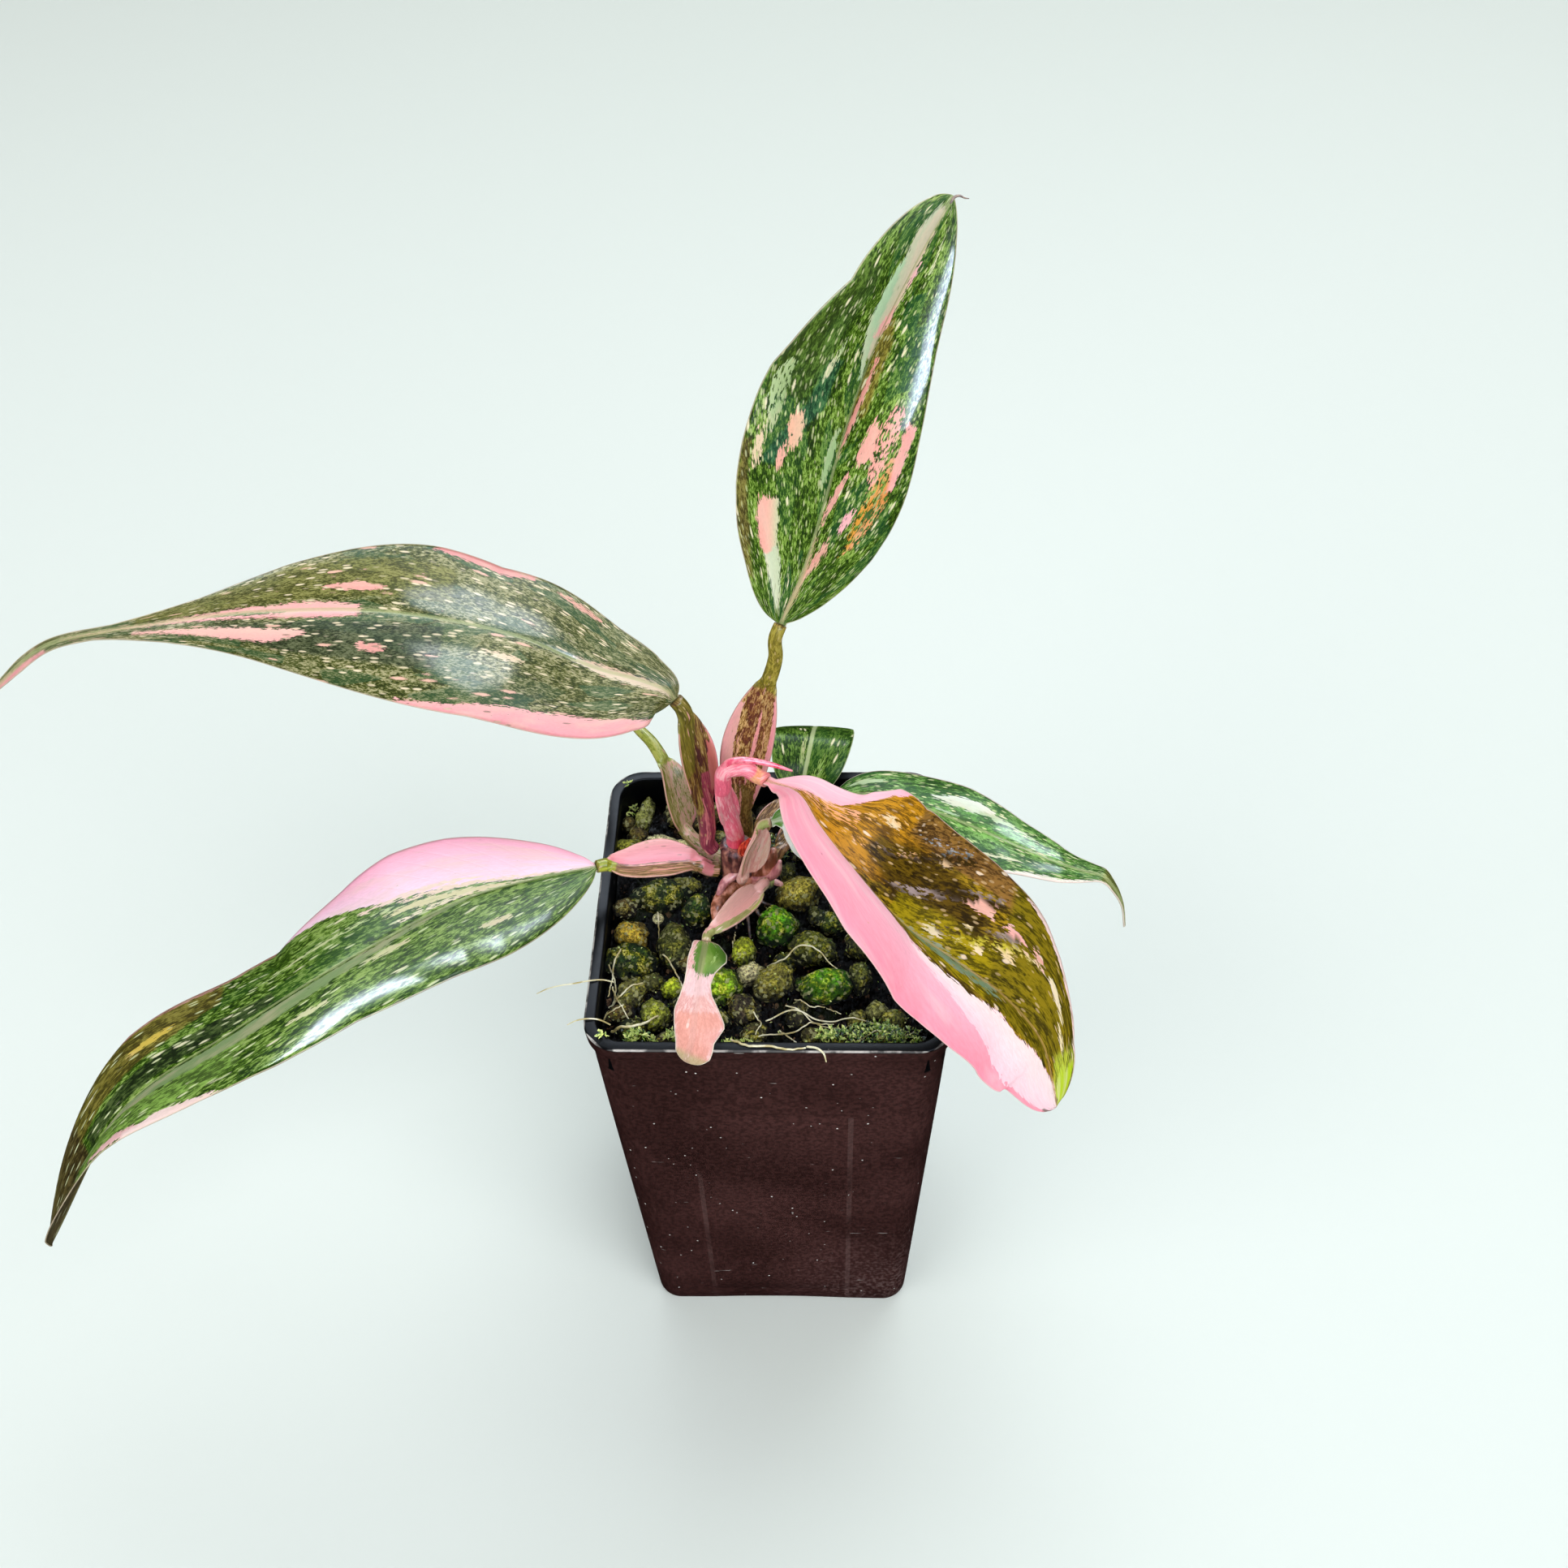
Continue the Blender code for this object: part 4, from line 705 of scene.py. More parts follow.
            ("#a87c5c", [(0.58, 0.52, 0.54), (0.64, 0.54, 0.57), (0.72, 0.53, 0.56)]),
            ("#7a5a38", [(0.66, 0.34, 0.36), (0.74, 0.36, 0.4), (0.84, 0.36, 0.39)]),
            ("#b88c54", [(0.85, 0.7, 0.74), (0.865, 0.7, 0.76), (0.88, 0.71, 0.74)]),
            ("#f0d8a8", [(0.6, -0.2, -0.17), (0.615, -0.22, -0.16), (0.63, -0.2, -0.17)]),
            ("#f0d8a8", [(0.56, -0.3, -0.27), (0.575, -0.32, -0.26), (0.59, -0.3, -0.27)]),
            ("#ecd0a0", [(0.66, -0.34, -0.3), (0.68, -0.36, -0.29), (0.7, -0.34, -0.3)]),
            ("#f0dcae", [(0.86, -0.5, -0.44), (0.885, -0.52, -0.42), (0.9, -0.48, -0.44)]),
            ("#b8d020", [(0.93, -0.9, -0.3), (0.97, -0.8, -0.1), (1, -0.7, 0.0)], 0.9),
            ("#f3d2cc", [(0.7, -1.1, -0.94), (0.8, -1.1, -0.92), (0.96, -1.1, -0.94)]),
            ("#4a3420", [(0.975, -0.2, 0.4), (0.985, -0.5, 0.8), (1, -1.1, 1.1)]),
        ]),
    "right": dict(
        mid=[(15, 30.5, 157), (23, 28.5, 161), (34, 24, 163), (47, 16, 165), (61, 7, 166),
             (70, 2, 166), (78.6, 0, 164), (82, -1.5, 164.4), (85, -3, 161.4),
             (87.4, -4.5, 156.8), (88.7, -6, 150.3)],
        up=[(0, 0.1, 1), (0.3, 0, 1)],
        left=dict(w=11.6, fold=(20, 15, 17, 0, 18), curl=(-15,), shape=(0.37, 0.5, 1.35, 1.3),
                  trim=(1, 1, 0.98, 0.95, 0.93, 0.96, 1, 1, 1, 1, 1)),
        right=dict(w=15.0, fold=(7, 5, 0, 6, 14), curl=(-15,), shape=(0.5, 0.6, 1.1, 2.4),
                   trim=(1, 1, 1, 1, 1, 1, 1, 1.22, 1.3, 1, 1)),
        drip=0.08, wave=(0.5, 3.0),
        shine=[[(0.5, -0.5, 0.1), (0.58, -0.6, 0.5), (0.66, -0.5, 0.6), (0.74, -0.2, 0.4)]],
        look=dict(greens=[(0.1, "#183a02"), (0.36, "#2e5a0a"), (0.62, "#46761a"),
                          (0.92, "#8cb864")], cool=("#2c6428", 0.35), grain=(0.4, 4.0),
                  gloss=0.4, coatRoughness=0.16, specular=0.05, roughness=0.34,
                  edge=("#ecd8d0", 0.35, 0.85)),
        zones=[
            ("#48802c #74a450", [(0.28, -0.3, 0.1), (0.5, -0.34, 0.16), (0.7, -0.3, 0.1)]),
            ("#6a6a34", [(0.82, -1.05, 1.05), (1, -1.05, 1.05)]),
        ],
        sectors=[
            ("#b9cfa2", [(0.06, -0.52, -0.46), (0.1, -0.62, -0.42), (0.15, -0.56, -0.5)]),
            ("#e6ece0 #d3dfc6", [(0.29, -0.42, -0.36), (0.35, -0.62, -0.34),
                                 (0.42, -0.72, -0.38), (0.47, -0.66, -0.5)]),
            ("#b4caa0", [(0.42, -0.6, -0.4), (0.52, -0.58, -0.46), (0.62, -0.54, -0.5)]),
            ("#f0e8e2", [(0.56, 0.95, 1.05), (0.66, 0.84, 1.05), (0.76, 0.82, 1.05),
                         (0.83, 0.94, 1.05)]),
        ],
        over=[
            ("#a9c39a", [(0.32, -0.15, -0.1), (0.35, -0.15, -0.07), (0.39, -0.13, -0.08)]),
            ("#d7d8b4", [(0.49, 0.43, 0.47), (0.55, 0.45, 0.54), (0.61, 0.5, 0.54)]),
        ]),
    "back": dict(
        mid=[(7, 35, 155.5), (8.6, 40, 160.5), (9.8, 46, 163), (10.6, 54, 159), (11, 62, 150),
             (11, 68, 139), (11, 72, 129)],
        up=[(0, -1, 0.2), (0, -0.2, 1), (0, 0.6, 0.8), (0, 0.9, 0.4)],
        left=dict(w=11.0, fold=(15, 5, 0, 0, 0), curl=(-10,), shape=(0.3, 0.24, 2.0, 1.2)),
        right=dict(w=11.0, fold=(15, 5, 0, 0, 0), curl=(-10,), shape=(0.3, 0.24, 2.0, 1.2)),
        drip=0.04, wave=(0.3, 2.0),
        look=dict(greens=[(0.1, "#162c02"), (0.35, "#264408"), (0.6, "#385a10"),
                          (0.9, "#6c8c38")], cool=("#2c5c28", 0.4), coat=0.0, specular=0.05,
                  fleck=("#88a458", 0.8, 3.0, 0.1), edge=("#c8d4a4", 0.3, 0.6),
                  rib=("#c8d4a0", 0.6, 0.7)),
        sectors=[
            ("#8cb054", [(0.0, 0.12, 0.5), (0.06, 0.2, 0.5), (0.12, 0.3, 0.44),
                         (0.16, 0.38, 0.42)], 0.6),
            ("#8cac5c", [(0.12, -0.22, -0.12), (0.2, -0.2, -0.12), (0.26, -0.16, -0.12)]),
        ]),
    "small_front": dict(
        mid=[(-15.3, -19.1, 161), (-15.7, -24.4, 162.4), (-16, -29.2, 163.2),
             (-16.4, -34.9, 163.4), (-16.6, -40, 163.2), (-16.8, -43.8, 162),
             (-17.3, -46.6, 159.6), (-18.3, -48, 156.4), (-19, -48.2, 153.4)],
        up=[(0, -0.2, 1), (0, -0.4, 0.9)],
        left=dict(w=6.0, fold=(-12, 8, 4, 0, 0), curl=(-10,), shape=(0.3, 0.25, 6.0, 0.5),
                  trim=(1, 1.1, 1.02, 0.6, 0.49, 0.62, 0.93, 1.24, 0.93, 1.12, 1)),
        right=dict(w=5.0, fold=(40, 30, 8, 0, 0), curl=(-10,), shape=(0.3, 0.25, 6.0, 0.5),
                   trim=(1, 0.76, 0.74, 0.68, 0.66, 0.79, 1, 0.97, 0.89, 0.87, 1)),
        drip=0.2, wave=(0.3, 2.0),
        look=dict(greens=[(0.1, "#dca09c"), (0.35, "#e4aeaa"), (0.6, "#ecbcb8"),
                          (0.9, "#f0c8c8")], cool=("#e8b0a8", 0.4), mottle=0.07,
                  fleck=("#f6d8d0", 0.8, 3.0, 0.1),
                  dash=("#f4cdbc", 1.2, 3.0, 0.03), rib=("#c9a098", 0.9, 0.25), speck=0.2,
                  edge=("#f2ead8", 0.3, 0.8), under="#e8b0a8", relief=0.25, wash="#b4cc70",
                  coat=0.0, specular=0.1, roughness=0.35),
        zones=[
            ("#e09888", [(0.62, -0.9, 0.9), (0.8, -0.9, 0.9), (0.9, -0.7, 0.8)]),
            ("#b8a878", [(0.9, -1.1, 1.1), (1, -1.1, 1.1)]),
            ("#f0ccd0", [(0.3, -0.9, 0.9), (0.45, -0.9, 0.9), (0.5, -0.6, 0.6)]),
        ],
        sectors=[
            ("#36600c #5c8a1c #4a7818", [(0, -1.1, 0.6), (0.1, -1.1, 0.62),
                                         (0.2, -1.1, 0.6), (0.29, -1.0, 0.5),
                                         (0.34, -0.5, 0.2)]),
        ],
        over=[
            ("#a8c878", [(0.12, -0.62, -0.56), (0.16, -0.6, -0.5), (0.22, -0.5, -0.46)]),
        ]),
    "hidden": dict(
        mid=[(-39.2, 40, 180.6), (-53, 46, 183.5), (-66, 52, 186.4), (-80, 58, 188),
             (-93, 64, 188)],
        up=[(0, -0.3, 1), (0, -0.2, 1)],
        left=dict(w=8.0, fold=(10, 8, 5, 5, 5), curl=(-15,), shape=(0.4, 0.6, 2.0, 1.2)),
        right=dict(w=8.0, fold=(10, 8, 5, 5, 5), curl=(-15,), shape=(0.4, 0.6, 2.0, 1.2)),
        drip=0.04, wave=(0.3, 2.0),
        sectors=[
            ("#c3cf9c #d9b8a0", [(0.2, 0.3, 0.36), (0.35, 0.36, 0.6), (0.55, 0.5, 0.7),
                                 (0.66, 0.66, 0.72)]),
            ("#e0a8a0", [(0.3, -0.6, -0.5), (0.45, -0.75, -0.5), (0.6, -0.8, -0.7)]),
        ]),
    "pale": dict(
        mid=[(0.5, 4.5, 178), (3.5, 4.2, 179.6), (7.5, 3, 179), (12, 1, 176), (16, -1.5, 170.5),
             (18, -3.5, 165)],
        up=[(0, -0.6, 0.8), (0.1, -0.75, 0.65), (0.4, -0.6, 0.6)],
        left=dict(w=5.0, fold=(10, 5, 0, 0, 0), curl=(-10,), shape=(0.45, 0.6, 2.0, 1.0)),
        right=dict(w=6.8, fold=(5, 0, 0, 0, 0), curl=(-10,), shape=(0.45, 0.85, 2.0, 1.0)),
        drip=0.04, wave=(0.3, 2.0),
        look=dict(greens=[(0.1, "#dfe6e0"), (0.35, "#e8eee8"), (0.6, "#eef0ea"),
                          (0.9, "#f2eeea")], cool=("#dce8e0", 0.4), mottle=0.05,
                  fleck=("#f4f6f0", 0.8, 3.0, 0.1),
                  dash=("#c6d8b0", 1.2, 3.0, 0.05), rib=("#c9d4b8", 0.5, 0.5), speck=0.1,
                  edge=("#f6ece8", 0.3, 0.5), under="#e4e8dc", wash="#f4f4f0", coat=0.1),
        sectors=[("#4c8030 #6a9a44", [(0, -1.1, 1.1), (0.08, -1.1, 0.9), (0.16, -1.1, 0.1),
                                      (0.26, -1.1, -0.4), (0.34, -1.1, -0.8)])]),
}
bare = dict(look={}, zones=[], sectors=[], over=[], shine=[])  # what a leaf or stalk leaves out
bladeMesh = dict(rowStep=0.7, fewest=50, most=220, columns=26, shortest=60, closeIn=1.35,
                 endShare=0.6, thick=0.27, margin=0.11, marginWidth=2.5, groove=0.22,
                 grooveWidth=0.7, rib=0.85, ribWidth=0.9, fadeOut=0.85, veinStep=5.2, veinLean=0.8,
                 least=(1.3, 1.0, 0.8, 0.5), leastAt=(0, 0.04, 0.9, 1), easeWidth=4.0,
                 wavePhase=(0.9, 2.4), zoneSoft=2.5, shineSoft=3.5)


def bladeMiddle(spec, t, s):
    m = bladeMesh
    pos, face, right, tangent = frameAlong(spec["mid"], spec["up"], t)
    least = np.interp(t, m["leastAt"], m["least"])
    middle = np.zeros((len(t), len(s), 3))
    widths = np.zeros((len(t), len(s)))
    amount, count = spec["wave"]
    for side, half, phase in zip((-1, 1), (spec["left"], spec["right"]), m["wavePhase"]):
        pick = s < 0 if side < 0 else s >= 0
        a = np.abs(s[pick])[None, :]
        width = half["w"] * leafShape(t, *half["shape"], spec["drip"])
        width = np.maximum(width * blend(half.get("trim", (1,)), t), least)
        ease = np.clip((width - least) / m["easeWidth"], 0, 1)
        fold = (np.radians(blend(half["fold"], t)) * ease)[:, None]
        curl = (np.radians(blend(half["curl"], t)) * ease)[:, None]
        across, rise = halfSection(width[:, None], fold, curl, a)
        ripple = np.sin(2 * math.pi * count * t + phase) * np.sin(math.pi * t)
        rise = rise + amount * a * a * ripple[:, None]
        middle[:, pick] = (pos[:, None] + side * right[:, None] * across[..., None]
                           + face[:, None] * rise[..., None])
        widths[:, pick] = width[:, None]
    return middle, widths, tangent


def makeBlade(name, spec):
    m = bladeMesh
    length = curveThrough(spec["mid"])[1][-1]
    rows = int(np.clip(length / m["rowStep"], m["fewest"], m["most"]))
    even = np.linspace(0, 1, rows)
    t = m["endShare"] * (0.5 - 0.5 * np.cos(math.pi * even)) + (1 - m["endShare"]) * even
    small = length <= m["shortest"]
    columns = m["columns"] // 2 if small else m["columns"]
    half = np.linspace(0, 1, columns + 1) ** m["closeIn"]
    s = np.concatenate([-half[:0:-1], half])
    middle, widths, tangent = bladeMiddle(spec, t, s)
    a = np.abs(s)[None, :]
    fromRib = a * widths
    fromEdge = (1 - a) * widths
    full = np.clip(fromEdge / m["marginWidth"], 0, 1) ** 0.5
    body = m["margin"] + (m["thick"] - m["margin"]) * full
    strength = (0.5 if small else 1.0) * (1 - m["fadeOut"] * t)[:, None]
    upper = body - m["groove"] * strength * np.exp(-(fromRib / m["grooveWidth"]) ** 2)
    lower = body + m["rib"] * strength * np.exp(-(fromRib / m["ribWidth"]) ** 2)
    nominal = np.where(s < 0, spec["left"]["w"], spec["right"]["w"])[None, :]
    streak = np.zeros((*widths.shape, 3))
    streak[..., 0] = (a - t[:, None] * (0.6 + 0.4 * a)) * nominal
    streak[..., 0] += np.where(s < 0, 0.0, 137.0)[None, :]  # so the halves don't match
    streak[..., 1] = t[:, None] * length
    streak[..., 2] = sum(ord(c) for c in name) * 0.37  # nor do the leaves
    place = (t, s[None, :], widths, length)
    fields = paintedFields(spec, *place, m["zoneSoft"])
    shine = [("#ffffff", rows) for rows in spec["shine"]]
    fields.update(streak=streak, rib=fromRib, margin=fromEdge,
                  vein=(t[:, None] * length - m["veinLean"] * fromRib) / m["veinStep"],
                  shine=shadeZones(shine, *place, m["shineSoft"])[0])
    look = {**bladeLook, **spec["look"]}
    if not spec["shine"]:
        look["gloss"] = 0.0
    mat = leafSurface("leafTissue_" + name, look)
    obj = sheetPiece("leaf_" + name, middle, upper, lower, tangent, fields, mat)
    return settle(obj, "leaf_" + name, "blade_" + name)


for name, spec in leaves.items():
    makeBlade(name, {**bare, **spec})
print("blades made")

# Each stalk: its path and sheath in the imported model, then colours as for the blades, with the
# position across running over the sheath. root: turn around the stem, height, lean.
stalks = {
    "upright": dict(
        root=(72, 160.5, 60), path=[(-7.0, 14.4, 170), (-6.6, 13.4, 183), (-4.4, 13.5, 197),
                                    (-0.9, 14.2, 211.5), (2.3, 15.1, 223.5)],
        radius=(1.9, 2.2, 1.5), up=[(-0.25, -0.95, 0.2)], half=6.8, span=(0.08, 0.78), peak=0.5,
        open=18, look=dict(greens=[(0.1, "#56301c"), (0.35, "#7c5226"), (0.6, "#a47c3c"),
                                   (0.9, "#d8b878")], grain=(0.36, 3.4)),
        zones=[("#6a5c28", [(0, -1, 1), (0.3, -1, 1)]),
               ("#8a8428", [(0.74, -1.1, 1.1), (0.84, -1.1, 1.1), (1, -1.1, 1.1)])],
        sectors=[
            ("#f0aab4 #efb8ae", [(0.18, -1.1, -0.86), (0.3, -1.1, -0.6), (0.45, -1.1, -0.56),
                                 (0.58, -1.1, -0.6), (0.68, -1.1, -0.8)]),
            ("#efa0a8", [(0.26, 0.86, 1.1), (0.4, 0.78, 1.1), (0.6, 0.82, 1.1),
                         (0.72, 0.86, 1.1)]),
            ("#f0a6a6", [(0.3, 0.12, 0.2), (0.42, 0.14, 0.3), (0.55, 0.16, 0.3),
                         (0.66, 0.16, 0.22)]),
        ],
        over=[("#d99a90", [(0.1, -0.3, -0.15), (0.2, -0.25, -0.1), (0.32, -0.2, -0.12)]),
              ("#e8b88c", [(0.22, -0.42, -0.36), (0.4, -0.44, -0.36), (0.62, -0.4, -0.34)], 0.7),
              ("#e8b88c", [(0.3, 0.5, 0.56), (0.46, 0.54, 0.6), (0.64, 0.5, 0.54)], 0.7)]),
    "upper_left": dict(
        root=(172, 161.5, 60), path=[(-15.9, 9.4, 170), (-16.2, 9.0, 182.2), (-17, 9.0, 193.4),
                                     (-18.4, 9.8, 204)],
        radius=(1.9, 2.6, 1.8), up=[(0.6, -0.75, 0.2)], half=5.2, span=(0.2, 0.93), peak=0.66,
        open=16, look=dict(greens=[(0.1, "#3c2420"), (0.35, "#5c4020"), (0.6, "#7a6428"),
                                   (0.9, "#a08a48")], grain=(0.34, 14.0), cool=("#74303c", 0.5)),
        zones=[("#6e6a20", [(0.6, -1.1, -0.3), (0.8, -1.1, 0.3), (1, -1.1, 1.1)]),
               ("#a84462", [(0, -1.1, 1.1), (0.2, -1.1, 1.1), (0.36, -0.3, 0.9),
                            (0.56, 0.1, 0.5)])],
        sectors=[
            ("#b9605c #d98a7c", [(0.42, 0.5, 1.1), (0.55, 0.5, 1.1), (0.66, 0.55, 1.1),
                                 (0.74, 0.7, 1.1)]),
            ("#d07a80", [(0.12, -0.5, -0.3), (0.25, -0.4, -0.2), (0.42, -0.3, -0.2)]),
            ("#c9707c", [(0.1, 0.3, 0.45), (0.25, 0.2, 0.42), (0.45, 0.2, 0.3)]),
        ],
        over=[("#f0909c", [(0.4, 0.92, 1.1), (0.6, 0.92, 1.1), (0.8, 0.92, 1.1)])]),
    "lower_left": dict(
        root=(190, 155.5, 20), path=[(-18.5, 6.8, 158.8), (-27, 5.4, 160.5), (-36, 3.6, 161.5)],
        radius=(2.0, 2.3, 1.6), up=[(0, -0.25, 1)], half=6.6, span=(0.10, 0.93), peak=0.5,
        open=26, look=dict(greens=[(0.1, "#54401c"), (0.35, "#7a6a2c"), (0.6, "#94804a"),
                                   (0.9, "#d09a80")], grain=(0.32, 12.0)),
        zones=[("#a8b830", [(0.84, -1.1, 1.1), (0.95, -1.1, 1.1), (1, -1.1, 1.1)])],
        sectors=[
            ("#e0808e #f0a0aa #f4b0b4", [(0.1, 0.12, 1.1), (0.3, 0.1, 1.1), (0.6, 0.1, 1.1),
                                         (0.82, 0.14, 1.1), (0.9, 0.4, 1.1)]),
            ("#e8909a", [(0.06, -1.1, 0.1), (0.14, -1.1, 0.1), (0.2, -0.3, 0.1)]),
        ],
        over=[("#d9a090", [(0.2, -0.5, -0.42), (0.45, -0.55, -0.45), (0.7, -0.5, -0.42)]),
              ("#f4b8b8", [(0.2, -0.06, 0.04), (0.5, -0.06, 0.04), (0.85, -0.04, 0.04)])]),
    "front_right": dict(
        root=None, path=[(-9.3, 6.4, 174), (-10.2, 4.4, 184), (-10.6, 3, 193), (-9.3, 1.8, 199.8),
                         (-4.8, 1.2, 201)],
        radius=(2.3, 2.1, 1.8), up=[(0.5, -0.8, 0.3)], half=3.1, span=(0.10, 0.66), peak=0.4,
        open=24, look=dict(greens=[(0.1, "#f0708a"), (0.35, "#f6889c"), (0.6, "#f898a8"),
                                   (0.9, "#fab4bc")], cool=("#f05c80", 0.3), mottle=0.10,
                           fleck=("#fbc0c8", 0.5, 6.0, 0.1), dash=("#e86c88", 0.6, 9.0, 0.04),
                           edge=("#f8b4bc", 0.22, 0.5), under="#e06880", relief=0.1),
        zones=[("#e84468", [(0, -1.1, 1.1), (0.1, -1.1, 1.1)]),
               ("#f06080", [(0.56, -1.1, 1.1), (0.66, -1.1, 1.1), (0.72, -1.1, 1.1)]),
               ("#f0b47c", [(0.9, -1.1, 0.6), (1, -1.1, 1.1)])]),
    "right": dict(
        root=(15, 151.0, 20), path=[(1.5, 14.5, 154.5), (8.5, 24, 157)],
        radius=(1.7, 1.7, 1.3), up=[(0, 0, 1)], half=3.4, span=(0.2, 0.7), peak=0.45, open=25),
    "back": dict(
        root=(70, 151.0, 20), path=[(-4.6, 18.5, 154.5), (0.5, 25.5, 157), (4.2, 31, 157.2)],
        radius=(1.7, 1.6, 1.3), up=[(0, 0, 1)], half=3.2, span=(0.2, 0.7), peak=0.45, open=25),
    "small_front": dict(
        root=(325, 151.5, 25), path=[(-2.0, 3.6, 155), (-3.6, -0.6, 157.2), (-7.4, -6.6, 158.6),
                                     (-11.8, -13.0, 160)],
        radius=(1.5, 1.5, 1.1), up=[(0.3, -0.2, 1)], half=3.9, span=(0.22, 0.9), peak=0.5,
        open=22, look=dict(greens=[(0.1, "#cdb088"), (0.35, "#f0c4b0"), (0.6, "#fcd0c4"),
                                   (0.9, "#ffdcd4")], cool=("#b0a468", 0.4), mottle=0.14,
                           fleck=("#f4d8cc", 0.5, 6.0, 0.12), dash=("#7a8a3c", 0.6, 8.0, 0.08),
                           under="#f0ccc0"),
        zones=[("#8a9a44", [(0.55, -1.1, 0.5), (0.8, -1.1, 0.5), (1, -1.1, 1.1)]),
               ("#c07a78", [(0, -1.1, 1.1), (0.16, -1.1, 1.1)])],
        sectors=[("#b4c060", [(0.24, -1.1, -0.8), (0.4, -1.1, -0.76), (0.54, -1.1, -0.84)]),
                 ("#f0b0ac #f2beb6", [(0.2, -0.5, 0.9), (0.4, -0.6, 0.95), (0.6, -0.5, 0.9),
                                      (0.8, -0.1, 0.9), (0.95, 0.3, 0.9)])]),
    "hidden": dict(
        root=(135, 153.0, 20), path=[(-17, 14.6, 154.8), (-22, 16.8, 159), (-24.4, 20, 167),
                                     (-26.8, 25, 175), (-30.4, 30, 178.6), (-35, 35.4, 179.6)],
        radius=(1.8, 1.9, 1.2), up=[(0.6, -0.5, 0.6)], half=5.2, span=(0.2, 0.66), peak=0.42,
        open=22, look=dict(greens=[(0.1, "#7a7430"), (0.35, "#b4aa70"), (0.6, "#d4bc98"),
                                   (0.9, "#e8b4a8")], cool=("#8a8a3c", 0.4), mottle=0.24,
                           grain=(0.4, 4.0),
                           fleck=("#6a6a2c", 0.7, 2.6, 0.2), dash=("#e0a8a4", 0.8, 4.0, 0.12)),
        zones=[("#9aa83a", [(0.62, -1.1, 1.1), (0.8, -1.1, 1.1), (1, -1.1, 1.1)]),
               ("#7a7a24", [(0.15, -1.1, -0.7), (0.35, -1.1, -0.75), (0.6, -1.1, -0.7)])],
        sectors=[("#e0a4a8", [(0.1, 0.7, 1.1), (0.3, 0.8, 1.1), (0.5, 0.84, 1.1)])]),
    "pale": dict(
        root=(285, 157.0, 60), path=[(-6.6, 1.6, 162), (-5.0, 2.2, 168), (-2.8, 4.0, 173.6)],
        radius=(1.4, 1.5, 1.1), up=[(0.6, -0.7, 0.4)], half=4.4, span=(0.1, 0.88), peak=0.5,
        open=24, look=dict(greens=[(0.1, "#e8a49c"), (0.35, "#f2b8ac"), (0.6, "#f6c4b8"),
                                   (0.9, "#f8d4c8")], cool=("#d0b090", 0.4), mottle=0.12,
                           fleck=("#f8e0d8", 0.5, 5.0, 0.12), dash=("#9a9a54", 0.6, 8.0, 0.07),
                           under="#f4c0b8"),
        zones=[("#8fae4c", [(0.85, -1.1, 1.1), (1, -1.1, 1.1)])],
        sectors=[("#7d8a34 #a8a860", [(0.3, -1.1, -0.86), (0.5, -1.1, -0.8),
                                      (0.85, -1.1, -0.7)])]),
}

# The old stem: brown skin, ringed by the scars of fallen leaves.
stem = dict(axis=(-9.0, 8.5), radius=4.0, bottom=131.0, top=165.0, levels=40, sides=28, seed=4,
            scars=4.6, scarRise=0.05, rough=0.015, skin=("#34181a", "#74403a", "#ac7460"))
stalkMesh = dict(rows=90, columns=14, gap=0.3, sheath=0.8, thin=(1, 0.8, 0.45),
                 thinAt=(0, 0.8, 1), straight=(2.0, 1.5, 2.4), wing=0.8, curl=0.9, zoneSoft=1.6,
                 veinStep=1.3, roundMargin=1.5)


